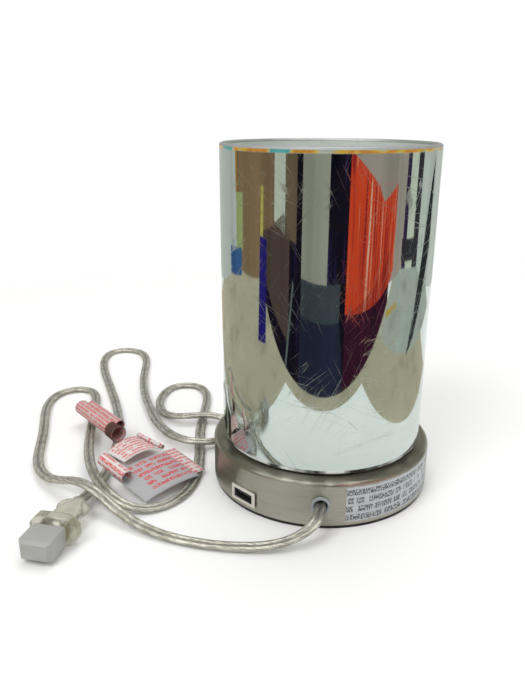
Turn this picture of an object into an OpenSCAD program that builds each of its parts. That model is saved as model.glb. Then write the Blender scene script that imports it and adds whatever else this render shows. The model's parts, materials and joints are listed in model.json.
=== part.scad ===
// Touch-control table lamp: a mirrored glass cylinder clamped on a low round metal base.
// Millimetres. Origin: centre of the foot pad's underside. +Z is up, and the cord leaves towards -Y.

/* [Base] */
// Outside diameter of the metal cover
base_d = 120; // [112:1:150]
// Height of the metal cover, from its lower edge to its top face
base_h = 23.5; // [23:0.5:32]
// Radius of the cover's rounded top edge
base_edge_r = 2; // [1.2:0.1:4]
// Thickness of the cover's sheet metal
cover_t = 1; // [0.8:0.1:1.4]
// Thickness of the foot pad
pad_t = 2; // [1.6:0.1:3]
// How far the pad's edge lies inside the cover's edge
pad_inset = 0.7; // [0.2:0.1:3]
// Thickness of the plate that closes the base
plate_t = 1.2; // [0.8:0.1:1.6]
// Thickness of the cast weight
weight_t = 10; // [6:0.5:12]
// Diameter of the weight's centre opening
weight_hole_d = 28; // [24:1:36]
// Diameter of a screw post
post_d = 6; // [5:0.5:8]
// Distance from the cover's outside to a post's axis
post_inset = 10; // [8:0.5:14]
// Thread diameter of the base screws
screw_d = 3; // [2.5:0.1:3.5]
// Length of a base screw under its head
screw_l = 9.5; // [8:0.5:12]
// Diameter of a base screw's head
screw_head_d = 5.6; // [5.2:0.1:6.4]
// Height of a base screw's head
screw_head_h = 1.2; // [0.8:0.1:1.4]

/* [Shade] */
// Outside diameter of the glass
shade_d = 109; // [96:0.5:116]
// Height of the glass, from its underside to its rim
shade_h = 156; // [135:0.5:220]
// Thickness of the glass wall
glass_wall = 3; // [2:0.25:4]
// Thickness of the glass floor
glass_floor = 4; // [3:0.25:6]
// Outside radius of the rolled lower edge
shade_heel_r = 3.5; // [3:0.25:8]
// Thickness of the gasket under the glass
gasket_t = 0.8; // [0.6:0.1:3]
// Outside diameter of the gasket
gasket_d = 88; // [60:1:92]

/* [Lamp holder] */
// Outside diameter of the socket, over its thread
socket_d = 39.4; // [38:0.2:42]
// Height of the socket above the base
socket_h = 36; // [35:0.5:38]
// Thickness of the socket's floor
socket_floor = 7.5; // [6:0.25:9]
// Height of the threaded length of the socket
socket_thread_h = 22; // [20:0.5:26]
// Inside diameter of the screw shell
screw_shell_d = 27.2; // [27:0.1:27.8]
// Thickness of the screw shell
screw_shell_t = 0.7; // [0.4:0.1:1]
// Rise of the centre contact above the socket's floor
contact_rise = 3; // [2:0.25:4]
// Outside diameter of the shade ring
ring_d = 54; // [50:0.5:60]
// Height of the shade ring
ring_h = 8; // [6:0.5:10]
// Thickness of the washer under the shade ring
ring_washer_t = 1.2; // [0.8:0.1:2]
// Number of finger grooves round the shade ring
ring_grooves = 12; // [8:1:18]
// Outside diameter of the threaded nipple
nipple_d = 9.9; // [9:0.1:11]
// Bore of the nipple
nipple_bore_d = 7; // [6:0.1:7.6]
// Width of the lock nut across its flats
nut_w = 14; // [13:0.5:18]
// Height of the lock nut
nut_h = 5; // [3:0.25:5]
// Thickness of the toothed lock washer
lock_washer_t = 0.8; // [0.5:0.1:1.2]
// Thickness of the touch terminal
terminal_t = 0.6; // [0.4:0.1:1]

/* [Bulb] */
// Diameter of the globe
bulb_d = 60; // [50:1:66]
// Height of the collar between the screw cap and the globe
collar_h = 34.5; // [28:0.5:40]
// Radius of the collar where the globe sits on it
collar_top_r = 24; // [20:0.5:24.5]
// Diameter of the screw cap over its thread
cap_d = 26.4; // [25.8:0.1:26.4]
// Height of the screw cap
cap_h = 21; // [21:0.5:24]
// Wall of the globe
globe_wall = 1.5; // [1:0.1:2]

/* [Charging port] */
// Direction of the port round the base, from the cord's side
usb_angle = -41; // [-60:1:-35]
// Height of the port's centre above the cover's lower edge
usb_rise = 6.6; // [6.4:0.1:9]
// Outside width of the metal shell
usb_w = 13.1; // [13:0.1:13.4]
// Outside height of the metal shell
usb_h = 5.7; // [5.6:0.1:6]
// Depth of the metal shell
usb_depth = 14; // [13:0.5:15]
// Thickness of the metal shell
usb_t = 0.3; // [0.3:0.05:0.4]
// Width of the bezel's face
bezel_w = 16.6; // [16:0.1:18]
// Height of the bezel's face
bezel_h = 8.2; // [8:0.1:10]
// How far the bezel stands out of the cover
bezel_t = 1; // [0.6:0.1:1.4]
// Length of the circuit board
board_l = 33; // [31:0.5:36]
// Width of the circuit board
board_w = 17; // [16:0.5:20]
// Thickness of the circuit board
board_t = 1.6; // [1:0.1:1.6]
// Diameter of the capacitor
capacitor_d = 6; // [5:0.5:7]
// Height of the capacitor
capacitor_h = 9; // [7:0.5:9]

/* [Cord and plug] */
// Width of the flat cord
cord_w = 6; // [5:0.1:6.4]
// Thickness of the flat cord
cord_t = 3; // [2.5:0.1:3.2]
// Height of the cord's exit above the cover's lower edge
exit_rise = 11.5; // [10:0.5:13]
// Outside diameter of the cord grommet
grommet_d = 10; // [9:0.5:12]
// Length of the plug's grip
grip_l = 22; // [20:0.5:26]
// Thickness of the plug's front flange
flange_t = 5; // [4:0.25:6]
// Width of the plug's front flange
flange_w = 25; // [22:0.5:28]
// Height of the plug's front flange
flange_h = 15; // [13:0.25:15]
// Length of the blades
blade_l = 16.5; // [15:0.25:18]
// Distance between the blades' centres
blade_pitch = 12.7; // [12:0.1:13]
// Thickness of a blade
blade_t = 1.5; // [1.3:0.1:1.6]
// Width of the narrow blade
blade_w = 6.3; // [6:0.1:6.5]
// Width of the wide blade
wide_blade_w = 7.9; // [7.5:0.1:8]
// Wall of the blade cap
blade_cap_wall = 0.8; // [0.6:0.1:1.4]
// Gap between the blade cap and the plug's face
blade_cap_gap = 2.5; // [0.5:0.1:4]

/* [Paper tags] */
// Length of the rolled tag
tag_roll_l = 51; // [46:1:56]
// Outside diameter of the rolled tag
tag_roll_d = 10; // [8:0.5:12]
// Length of the flag tag
flag_l = 38; // [32:1:42]
// Width of the flag tag
flag_w = 30; // [24:1:34]
// Thickness of the folded paper
paper_t = 0.6; // [0.4:0.1:1]

/* [Hidden] */
$fn = 96;
arc_steps = 8;

// Clearances: a fixed fit, a free fit between moving pieces and a small hole's play. Cuts run past a face.
fit = 0.3;
turn_fit = 0.3;
hole_play = 0.1;
past = 1;

// Heights and radii that the pieces share
base_r = base_d / 2;
base_top = pad_t + base_h;
usb_z = pad_t + usb_rise;
exit_z = pad_t + exit_rise;
plate_top = pad_t + plate_t;
cover_ceiling = base_top - cover_t;
inside_r = base_r - cover_t;
post_r = base_r - post_inset;
post_angles = [-15, 90, 195];
weight_gap = 2.5;
weight_r = post_r - post_d / 2 - weight_gap;
weight_edge_y = 6;
shade_r = shade_d / 2;
shade_z = base_top + gasket_t;
floor_z = shade_z + glass_floor;
socket_r = socket_d / 2;
shade_hole_r = socket_r + 1;
hub_roof = 2;
hub_depth = socket_floor - hub_roof;
nipple_r = nipple_d / 2;
screw_shell_r = screw_shell_d / 2 + screw_shell_t;
socket_z = base_top + socket_floor;
ring_z = floor_z + ring_washer_t;
washer_z = cover_ceiling - lock_washer_t;
terminal_z = washer_z - terminal_t;
nut_z = terminal_z - nut_h;
nipple_end = 1.5;
nipple_z = nut_z - nipple_end;
nipple_hole_r = nipple_r + hole_play;
socket_bore_r = screw_shell_r + hole_play;

// Heights of the bulb's pieces, from its tip
bulb_z = socket_z + contact_rise + hole_play;
tip_h = 2;
tip_r = 4.7;
insulator_h = 3;
cap_foot_r = 10.5;
cap_z = bulb_z + tip_h + insulator_h;
collar_z = cap_z + cap_h;
globe_z = collar_z + collar_h;
globe_r = bulb_d / 2;

// The port's pieces, in a frame whose -Y points out of the port
tongue_t = 1.8;
tongue_w = 11.1;
tongue_l = 12.4;
tongue_rise = 1.1;
tongue_root = 3.5;
contact_l = 8.1;
contact_xs = [-3.5, -1, 1, 3.5];
board_z = usb_z - usb_h / 2 - board_t;
shell_recess = 0.4;
usb_back = -base_r - bezel_t + shell_recess + usb_depth;
bezel_neck_l = 2.5;
bezel_neck_w = usb_w + 1.8;
bezel_neck_h = usb_h + 1.4;
bezel_back = -inside_r + bezel_neck_l;
board_gap = 0.5;
board_back = bezel_back + board_gap + board_l;
board_top = board_z + board_t;
transformer_size = [11, 10, 9];
transformer_at = [-8, board_back - transformer_size[1] - 2];
capacitor_at = [-4, transformer_at[1] - board_gap - capacitor_d / 2];

// The cord's route: it runs along these points as a smooth spline, flat on the table
lie = 1.8;
cord_route = [
  [0, -46, 13.5], [0, -63, 13.5], [-2, -75, 12], [-18, -82, 4], [-48, -81, lie], [-80, -74, lie],
  [-104, -59, 5], [-124, -45, 16], [-146, -35, 5], [-166, -10, lie], [-174, 30, lie],
  [-192, 74, lie], [-188, 102, lie], [-164, 106, lie], [-155, 78, lie],
  [-138, 0, 6.5], [-118, -44, 11], [-94, -58, lie], [-72, -42, lie], [-67, -8, lie], [-78, 44, lie],
  [-77, 92, lie], [-85, 118, lie], [-109, 118, lie], [-114, 90, lie], [-106, 62, 2],
  [-88, 50, 7], [-68, 62, 5], [-47, 48, lie], [-58, 22, 4], [-80, 14, 7], [-104, 38, 4],
  [-134, 118, lie], [-138, 166, lie], [-150, 194, lie], [-179, 192, lie], [-176, 152, lie],
  [-128, 56, lie], [-118, -22, 2], [-123, -55, 7.6]
];
route_steps = 2;
cord_sides = 10;
cord_play = 0.4;
clamp_y = cord_route[0][1];
grommet_hole_r = cord_w / 2 + cord_play;
grommet_neck_t = 0.6;
grommet_neck_r = grommet_hole_r + grommet_neck_t;

// The plug lies on its flange, with its blades level
plug_at = cord_route[len(cord_route) - 1];
plug_turn = -9;
plug_face = -grip_l - flange_t;
grip_h = 10;
ear_r = 4;
ear_y = -7;
waist_w = 15;
waist_y = -15.4;
shoulder_w = 18;
flange_corner = 4.5;
blade_cap_y = plug_face - blade_cap_gap;
pocket_play = 0.25;
pocket_w = blade_pitch + blade_t + 2 * pocket_play;
pocket_h = wide_blade_w + 2 * pocket_play;
pocket_l = blade_l - blade_cap_gap + 2 * pocket_play;

// Where the paper tags lie
tag_roll_at = [-139, 33, 6 + tag_roll_d / 2];
tag_roll_turn = -47;
flag_at = [-90, -24, 5.8];
flag_turn = 51;
flag_tilt = 8;
flag_bow = 2;
fan_at = [-111, 7, 4.5];
fan_turn = 51;
fan_l = 26;
fan_w = 24;
fan_bow = 3;

// Inner leads, from the clamp, the dimmer and the terminal
lead_d = 1.8;
lead_sides = 8;
dimmer_at = [9, -36];
dimmer_size = [32, 20, 14];
dimmer_edge_r = 2;
dimmer_top = plate_top + dimmer_size[2];
lead_gap = 1.4;
clamp_size = [12, 8];
clamp_edge_r = 1;
clamp_over = 4;
clamp_back = clamp_y + fit + clamp_size[1];
dimmer_back = dimmer_at[1] + dimmer_size[1];
terminal_turn = -52;
terminal_reach = 15;
tab_end = [terminal_reach * cos(terminal_turn), terminal_reach * sin(terminal_turn), terminal_z];
function turned(p, a) = [p[0] * cos(a) - p[1] * sin(a), p[0] * sin(a) + p[1] * cos(a), p[2]];
lead_rise = 2.5;
supply_end = [17, -26];
touch_end = [18, -22];
charge_end = [7, board_back - 4];
function supply_route(side) = [
  [side, clamp_back + fit, exit_z + 2], [side, clamp_back + 3, exit_z + 2],
  [side + 3, -31 - side, dimmer_top + lead_rise + 1], [13, supply_end[1] - side, dimmer_top + lead_rise + 1],
  [supply_end[0], supply_end[1] - side, dimmer_top + lead_rise],
  [supply_end[0], supply_end[1] - side, dimmer_top + fit]];
function socket_route(side) = [for (p = [
  [13, dimmer_back + fit, plate_top + 8], [13, dimmer_back + 3, plate_top + 8], [6, -6, plate_top + 7],
  [0, 0, plate_top + 9], [0, 0, nipple_z + 2], [0, 0, base_top + hub_depth - fit]]) p + [side, 0, 0]];
touch_route = [
  tab_end - [0, 0, fit], tab_end - [0, 0, 2], [13, -18, dimmer_top + lead_rise],
  [touch_end[0], touch_end[1], dimmer_top + lead_rise], [touch_end[0], touch_end[1], dimmer_top + fit]];
function charge_route(side) = [
  [side - 1, clamp_back + fit, exit_z - 2], [side - 1, clamp_back + 4, exit_z - 2], [side - 6, -26, exit_z - 2],
  turned([charge_end[0], charge_end[1] + side, board_top + 4], usb_angle),
  turned([charge_end[0], charge_end[1] + side, board_top + fit], usb_angle)];

// Points of an arc, and of a quadratic curve
function arc(c, r, a, b) = [for (i = [0:arc_steps]) let (at = a + (b - a) * i / arc_steps)
  c + r * [cos(at), sin(at)]];
function curve(a, b, c) = [for (i = [0:arc_steps]) let (t = i / arc_steps)
  (1 - t) * (1 - t) * a + 2 * t * (1 - t) * b + t * t * c];

// A uniform cubic spline that starts and ends on its first and last points
function blend(p, i, t) = (pow(1 - t, 3) * p[i - 1] + (3 * pow(t, 3) - 6 * t * t + 4) * p[i]
  + (-3 * pow(t, 3) + 3 * t * t + 3 * t + 1) * p[i + 1] + pow(t, 3) * p[i + 2]) / 6;
function padded(p) = let (n = len(p)) concat([2 * p[0] - p[1]], p, [2 * p[n - 1] - p[n - 2]]);
function spline(p, n) = let (q = padded(p)) concat(
  [for (i = [1:len(q) - 3], k = [0:n - 1]) blend(q, i, k / n)], [p[len(p) - 1]]);
function unit(v) = v / norm(v);
function heading(p, i) = unit(p[min(i + 1, len(p) - 1)] - p[max(i - 1, 0)]);

// One ring of a tube: w wide across the reference direction and t thick along it
function ring(c, dir, ref, w, t, n) = let (s = unit(cross(dir, ref)), u = cross(s, dir))
  [for (k = [0:n - 1]) c + w / 2 * cos(360 * k / n) * s + t / 2 * sin(360 * k / n) * u];

// A tube swept along a list of points
module tube(p, ref, w, t, n) {
  m = len(p);
  points = [for (i = [0:m - 1], q = ring(p[i], heading(p, i), ref, w, t, n)) q];
  sides = [for (i = [0:m - 2], k = [0:n - 1], f = [0, 1]) let (a = i * n + k, b = i * n + (k + 1) % n)
    f == 0 ? [a, b, b + n] : [a, b + n, a + n]];
  start = [for (k = [1:n - 2]) [0, k + 1, k]];
  end = [for (k = [1:n - 2]) [(m - 1) * n, (m - 1) * n + k, (m - 1) * n + k + 1]];
  polyhedron(points = points, faces = concat(sides, start, end));
}

// A ring lying on the level z
module washer(z, r_out, r_in, t) {
  translate([0, 0, z]) difference() {
    cylinder(r = r_out, h = t);
    translate([0, 0, -past]) cylinder(r = r_in, h = t + 2 * past);
  }
}

// A box with round upright edges, standing on the level z
module round_box(at, z, size, r) {
  translate([at[0], at[1], z]) {
    translate([r, 0, 0]) cube([size[0] - 2 * r, size[1], size[2]]);
    translate([0, r, 0]) cube([size[0], size[1] - 2 * r, size[2]]);
    for (x = [r, size[0] - r], y = [r, size[1] - r]) translate([x, y, 0]) cylinder(r = r, h = size[2]);
  }
}

// What a round of radius r takes off a square corner of a profile: at is the round's centre, and way points out
module corner_cut(at, r, way = [1, 1]) {
  translate(at) mirror([way[0] < 0 ? 1 : 0, 0]) mirror([0, way[1] < 0 ? 1 : 0]) difference() {
    square(2 * r);
    circle(r);
  }
}

module at_posts() {
  for (a = post_angles) rotate([0, 0, a]) translate([post_r, 0, 0]) children();
}

// Base

module foot_pad() {
  color([0.03, 0.03, 0.03]) difference() {
    cylinder(r = base_r - pad_inset, h = pad_t);
    at_posts() translate([0, 0, pad_t - screw_head_h - hole_play])
      cylinder(r = screw_head_d / 2 + fit, h = pad_t);
  }
}

module base_plate() {
  color([0.55, 0.56, 0.58]) difference() {
    translate([0, 0, pad_t]) cylinder(r = inside_r - fit, h = plate_t);
    at_posts() translate([0, 0, pad_t - past])
      cylinder(r = screw_d / 2 + 2 * hole_play, h = plate_t + 2 * past);
  }
}

module base_screws() {
  color([0.7, 0.71, 0.73]) at_posts() {
    translate([0, 0, pad_t - screw_head_h]) cylinder(d = screw_head_d, h = screw_head_h);
    translate([0, 0, pad_t - screw_head_h / 2])
      cylinder(d = screw_d - hole_play, h = screw_l + screw_head_h / 2);
  }
}

module base_weight() {
  color([0.2, 0.2, 0.21]) difference() {
    translate([0, 0, plate_top]) cylinder(r = weight_r, h = weight_t);
    translate([0, 0, plate_top - past]) cylinder(d = weight_hole_d, h = weight_t + 2 * past);
    translate([-base_r, -base_d + weight_edge_y, plate_top - past]) cube([base_d, base_d, weight_t + 2 * past]);
  }
}

// The cover is pressed sheet metal, with posts fixed under its top
module base_cover() {
  edge_in = max(base_edge_r - cover_t, 0.4);
  post_h = cover_ceiling - plate_top + cover_t / 2;
  post_hole_l = screw_l + 1.5;
  cut_l = 12;
  port_w = bezel_neck_w + 2 * hole_play;
  port_h = bezel_neck_h + 2 * hole_play;
  color([0.6, 0.59, 0.55]) difference() {
    union() {
      rotate_extrude() difference() {
        translate([nipple_hole_r, pad_t]) square([base_r - nipple_hole_r, base_h]);
        corner_cut([base_r - base_edge_r, base_top - base_edge_r], base_edge_r);
        difference() {
          translate([nipple_hole_r - past, pad_t - past])
            square([inside_r - nipple_hole_r + past, base_h - cover_t + past]);
          corner_cut([inside_r - edge_in, cover_ceiling - edge_in], edge_in);
        }
      }
      at_posts() translate([0, 0, plate_top]) cylinder(d = post_d, h = post_h);
    }
    at_posts() translate([0, 0, plate_top - past]) cylinder(d = screw_d, h = post_hole_l + past);
    translate([0, -base_r + cut_l / 2, exit_z]) rotate([90, 0, 0])
      cylinder(r = grommet_neck_r + hole_play, h = cut_l);
    port() port_block(port_w, port_h, -base_r - cut_l / 2, -base_r + cut_l / 2, usb_z);
  }
}

// Shade

module shade_gasket() {
  color([0.05, 0.05, 0.05]) washer(base_top, gasket_d / 2, socket_r + fit, gasket_t);
}

// Blown glass with a floor, a rolled lower edge, a fire-polished rim and a hole for the socket
module glass_shade() {
  heel_in = max(shade_heel_r - glass_wall, 1);
  rim_r = glass_wall / 2 - hole_play;
  inner_r = shade_r - glass_wall;
  color([0.75, 0.82, 0.84]) translate([0, 0, shade_z]) rotate_extrude() difference() {
    translate([shade_hole_r, 0]) square([shade_r - shade_hole_r, shade_h]);
    corner_cut([shade_r - shade_heel_r, shade_heel_r], shade_heel_r, [1, -1]);
    corner_cut([shade_r - rim_r, shade_h - rim_r], rim_r);
    corner_cut([inner_r + rim_r, shade_h - rim_r], rim_r, [-1, 1]);
    difference() {
      translate([shade_hole_r - past, glass_floor]) square([inner_r - shade_hole_r + past, shade_h]);
      corner_cut([inner_r - heel_in, glass_floor + heel_in], heel_in, [1, -1]);
    }
  }
}

// Lamp holder

module threaded_nipple() {
  top = base_top + hub_depth - fit;
  color([0.75, 0.65, 0.35]) washer(nipple_z, nipple_r, nipple_bore_d / 2, top - nipple_z);
}

module lock_washer() {
  teeth = 10;
  tooth_l = 1;
  slot_w = 1;
  color([0.6, 0.6, 0.62]) difference() {
    washer(washer_z, nut_w / 2 + tooth_l, nipple_hole_r, lock_washer_t);
    for (i = [0:teeth - 1]) rotate([0, 0, i * 360 / teeth]) translate([nut_w / 2, -slot_w / 2, washer_z - past])
      cube([tooth_l + past, slot_w, lock_washer_t + 2 * past]);
  }
}

module touch_terminal() {
  tab_w = 4;
  color([0.8, 0.7, 0.4]) translate([0, 0, terminal_z]) difference() {
    union() {
      cylinder(r = nut_w / 2, h = terminal_t);
      rotate([0, 0, terminal_turn]) translate([0, -tab_w / 2, 0])
        cube([terminal_reach + tab_w / 2, tab_w, terminal_t]);
    }
    translate([0, 0, -past]) cylinder(r = nipple_hole_r, h = terminal_t + 2 * past);
  }
}

module lock_nut() {
  color([0.75, 0.65, 0.35]) translate([0, 0, nut_z]) difference() {
    cylinder(d = nut_w / cos(30), h = nut_h, $fn = 6);
    translate([0, 0, -past]) cylinder(r = nipple_hole_r, h = nut_h + 2 * past);
  }
}

// Moulded socket: a cup with a blind hub for the nipple, threaded outside for the shade ring
module socket_shell() {
  thread_depth = 0.8;
  foot_bevel = 1;
  rim_r = 1.5;
  neck_r = socket_r - thread_depth;
  color([0.93, 0.92, 0.88]) translate([0, 0, base_top]) rotate_extrude() difference() {
    polygon([[0, hub_depth], [nipple_hole_r, hub_depth], [nipple_hole_r, 0], [socket_r - foot_bevel, 0],
      [socket_r, foot_bevel], [socket_r, socket_thread_h], [neck_r, socket_thread_h + thread_depth],
      [neck_r, socket_h], [socket_bore_r, socket_h], [socket_bore_r, socket_floor], [0, socket_floor]]);
    corner_cut([neck_r - rim_r, socket_h - rim_r], rim_r);
  }
}

module screw_shell() {
  foot_r = 8;
  rim_drop = 1.5;
  top = socket_h - socket_floor - rim_drop;
  color([0.85, 0.75, 0.45]) translate([0, 0, socket_z]) rotate_extrude() polygon([
    [foot_r, 0], [screw_shell_r, 0], [screw_shell_r, top], [screw_shell_d / 2, top],
    [screw_shell_d / 2, screw_shell_t], [foot_r, screw_shell_t]]);
}

// A brass leaf, bent up under the bulb's tip
module socket_contact() {
  leaf_t = 0.5;
  leaf_w = 6;
  tail = -6.5;
  bend = -3.6;
  crest = -1.2;
  end = 3;
  slant = 0.35;
  under = contact_rise - leaf_t;
  color([0.85, 0.72, 0.4]) translate([0, leaf_w / 2, socket_z]) rotate([90, 0, 0]) linear_extrude(leaf_w)
    polygon([[tail, 0], [bend, 0], [crest, under], [end, under], [end, contact_rise],
      [crest - slant, contact_rise], [bend - slant, leaf_t], [tail, leaf_t]]);
}

module ring_washer() {
  color([0.85, 0.85, 0.83]) washer(floor_z, ring_d / 2, socket_r + turn_fit, ring_washer_t);
}

module shade_ring() {
  groove_r = 2.4;
  groove_foot = 2;
  color([0.93, 0.92, 0.88]) difference() {
    washer(ring_z, ring_d / 2, socket_r + turn_fit, ring_h);
    for (i = [0:ring_grooves - 1]) rotate([0, 0, i * 360 / ring_grooves])
      translate([ring_d / 2 + groove_r / 2, 0, ring_z + groove_foot]) cylinder(r = groove_r, h = ring_h);
  }
}

// Bulb

module bulb_tip() {
  face_r = 2.5;
  edge = 0.5;
  color([0.75, 0.75, 0.76]) translate([0, 0, bulb_z]) rotate_extrude() polygon([
    [0, 0], [face_r, 0], [tip_r - edge, tip_h * 0.4], [tip_r, tip_h], [0, tip_h]]);
}

module bulb_insulator() {
  lip = 0.5;
  color([0.06, 0.06, 0.07]) translate([0, 0, bulb_z + tip_h])
    cylinder(r1 = tip_r + lip, r2 = cap_foot_r, h = insulator_h);
}

module bulb_cap() {
  foot_h = 2.5;
  color([0.78, 0.78, 0.76]) translate([0, 0, cap_z]) rotate_extrude() polygon([
    [0, 0], [cap_foot_r, 0], [cap_d / 2, foot_h], [cap_d / 2, cap_h], [0, cap_h]]);
}

// The collar flares in one round, which starts upright at the screw cap
module bulb_collar() {
  flare = collar_top_r - cap_d / 2;
  flare_r = (collar_h * collar_h + flare * flare) / (2 * flare);
  color([0.94, 0.94, 0.92]) translate([0, 0, collar_z]) rotate_extrude() difference() {
    square([collar_top_r, collar_h]);
    translate([cap_d / 2 + flare_r, 0]) circle(flare_r);
  }
}

module bulb_led_board() {
  led_gap = 2;
  led_t = 1.5;
  color([0.8, 0.8, 0.78]) translate([0, 0, globe_z])
    cylinder(r = collar_top_r - globe_wall - led_gap, h = led_t);
}

// A hollow diffuser that sits on the collar
module bulb_globe() {
  rise = sqrt(globe_r * globe_r - collar_top_r * collar_top_r);
  color([0.96, 0.96, 0.94]) translate([0, 0, globe_z + rise]) rotate_extrude() intersection() {
    difference() {
      circle(globe_r);
      circle(globe_r - globe_wall);
    }
    translate([0, -rise]) square([globe_r + past, rise + globe_r + past]);
  }
}

// Inside the base

module touch_dimmer() {
  color([0.08, 0.08, 0.09]) round_box(dimmer_at, plate_top, dimmer_size, dimmer_edge_r);
}

module cord_clamp() {
  color([0.9, 0.9, 0.88]) round_box([-clamp_size[0] / 2, clamp_y + fit], plate_top,
    [clamp_size[0], clamp_size[1], exit_z + clamp_over - plate_top], clamp_edge_r);
}

module lead(route, ref) {
  tube(spline(route, route_steps), ref, lead_d, lead_d, lead_sides);
}

module supply_leads() {
  color([0.85, 0.85, 0.82]) for (side = [-lead_gap, lead_gap]) lead(supply_route(side), [0.7, -0.7, 0.1]);
}

module socket_leads() {
  color([0.85, 0.85, 0.82]) for (side = [-lead_gap, lead_gap]) lead(socket_route(side), [0.8, 0.6, 0]);
}

module touch_lead() {
  color([0.1, 0.1, 0.1]) lead(touch_route, [0.7, 0.7, 0]);
}

// The grommet grips the edge of its hole between two flanges
module cord_grommet() {
  flange_r = grommet_d / 2;
  face = 1.4;
  lip_r = 0.6;
  inner_end = -cover_t - 1.5;
  color([0.55, 0.57, 0.58]) translate([0, -base_r, exit_z]) rotate([90, 0, 0]) rotate_extrude() difference() {
    polygon([[grommet_hole_r, inner_end], [flange_r, inner_end], [flange_r, -cover_t - fit],
      [grommet_neck_r, -cover_t - fit], [grommet_neck_r, hole_play], [flange_r, hole_play], [flange_r, face],
      [grommet_hole_r, face]]);
    corner_cut([flange_r - lip_r, face - lip_r], lip_r);
  }
}

// Charging port

module port() {
  rotate([0, 0, usb_angle]) children();
}

// A block centred on the port's axis: w wide and h high, between two depths
module port_block(w, h, front, back, z) {
  translate([-w / 2, front, z - h / 2]) cube([w, back - front, h]);
}

module usb_bezel() {
  color([0.9, 0.88, 0.84]) port() difference() {
    union() {
      port_block(bezel_w, bezel_h, -base_r - bezel_t, -base_r - hole_play, usb_z);
      port_block(bezel_neck_w, bezel_neck_h, -base_r - hole_play * 2, bezel_back, usb_z);
    }
    port_block(usb_w + hole_play, usb_h + hole_play, -base_r - 5, -inside_r + 5, usb_z);
  }
}

module usb_shell() {
  front = usb_back - usb_depth;
  color([0.7, 0.71, 0.72]) port() difference() {
    port_block(usb_w, usb_h, front, usb_back, usb_z);
    port_block(usb_w - 2 * usb_t, usb_h - 2 * usb_t, front - 1, usb_back - usb_t, usb_z);
  }
}

module usb_tongue() {
  back = usb_back - usb_t;
  color([0.95, 0.95, 0.93]) port() {
    port_block(usb_w - 2 * usb_t - 2 * hole_play, usb_h - 2 * usb_t - 2 * hole_play, back - tongue_root,
      back - hole_play, usb_z);
    port_block(tongue_w, tongue_t, back - tongue_l, back - tongue_root + fit, usb_z + tongue_rise);
  }
}

module usb_contacts() {
  root = usb_back - usb_t - tongue_root;
  strip_w = 1;
  strip_t = 0.25;
  color([0.85, 0.7, 0.35]) port() for (x = contact_xs)
    translate([x - strip_w / 2, root - contact_l, usb_z + tongue_rise - tongue_t / 2 - strip_t])
      cube([strip_w, contact_l, strip_t]);
}

module usb_board() {
  color([0.1, 0.35, 0.2]) port()
    port_block(board_w, board_t, board_back - board_l, board_back, board_z + board_t / 2);
}

module board_tape() {
  t = board_z - plate_top;
  inset = 3;
  color([0.85, 0.85, 0.8]) port()
    port_block(board_w - inset, t, board_back - board_l + inset, board_back - inset, plate_top + t / 2);
}

module usb_transformer() {
  color([0.9, 0.8, 0.2]) port()
    translate([transformer_at[0], transformer_at[1], board_top]) cube(transformer_size);
}

module usb_capacitor() {
  color([0.15, 0.15, 0.4]) port()
    translate([capacitor_at[0], capacitor_at[1], board_top]) cylinder(d = capacitor_d, h = capacitor_h);
}

module usb_leads() {
  color([0.8, 0.2, 0.15]) for (side = [-lead_gap, lead_gap]) lead(charge_route(side), [0.8, 0.6, 0.1]);
}

// Cord and plug

module cord() {
  color([0.62, 0.62, 0.55]) tube(spline(cord_route, route_steps), [0, 0, 1], cord_w, cord_t, cord_sides);
}

module plug() {
  translate(plug_at) rotate([0, 0, plug_turn]) children();
}

// Half of the grip's outline seen from above: a cord nub, finger ears and a waist
function grip_side() = concat([[cord_w / 2 + 0.8, 0], [cord_w / 2 + 1.2, ear_y + ear_r]],
  arc([cord_w / 2 + 2.5, ear_y], ear_r, 90, -60), [[waist_w / 2, waist_y], [shoulder_w / 2, -grip_l]]);
function mirrored(p) = [for (i = [len(p) - 1:-1:0]) [-p[i][0], p[i][1]]];

// The grip is where its outline from above and its outline from the side agree
module plug_grip() {
  half_h = grip_h / 2;
  side = concat([[0, cord_t / 2 + 1.2]], curve([-4, half_h - 1], [-8, half_h + 0.5], [-grip_l, half_h]));
  low = [for (i = [len(side) - 1:-1:0]) [side[i][0], -side[i][1]]];
  intersection() {
    translate([0, 0, -grip_h]) linear_extrude(2 * grip_h) polygon(concat(grip_side(), mirrored(grip_side())));
    rotate([90, 0, 90]) translate([0, 0, -flange_w]) linear_extrude(2 * flange_w) polygon(concat(side, low));
  }
}

module plug_body() {
  corner = flange_corner;
  w = flange_w / 2;
  h = flange_h / 2;
  color([0.78, 0.79, 0.74]) plug() {
    plug_grip();
    translate([0, -grip_l + 0.01, 0]) rotate([90, 0, 0]) linear_extrude(flange_t + 0.01) polygon([
      [w, corner - h], [w, h - corner], [w - corner, h], [corner - w, h],
      [-w, h - corner], [-w, corner - h], [corner - w, -h], [w - corner, -h]]);
  }
}

module plug_blades() {
  widths = [blade_w, wide_blade_w];
  color([0.8, 0.72, 0.45]) plug() for (i = [0, 1])
    translate([(i - 0.5) * blade_pitch - blade_t / 2, plug_face - blade_l, -widths[i] / 2])
      cube([blade_t, blade_l, widths[i]]);
}

// A length of stock, w wide and l long, with a bevelled nose
function nosed(w, l, nose) = [
  [w / 2, 0], [w / 2, nose - l], [w / 2 - nose, -l], [nose - w / 2, -l], [-w / 2, nose - l], [-w / 2, 0]];

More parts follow.
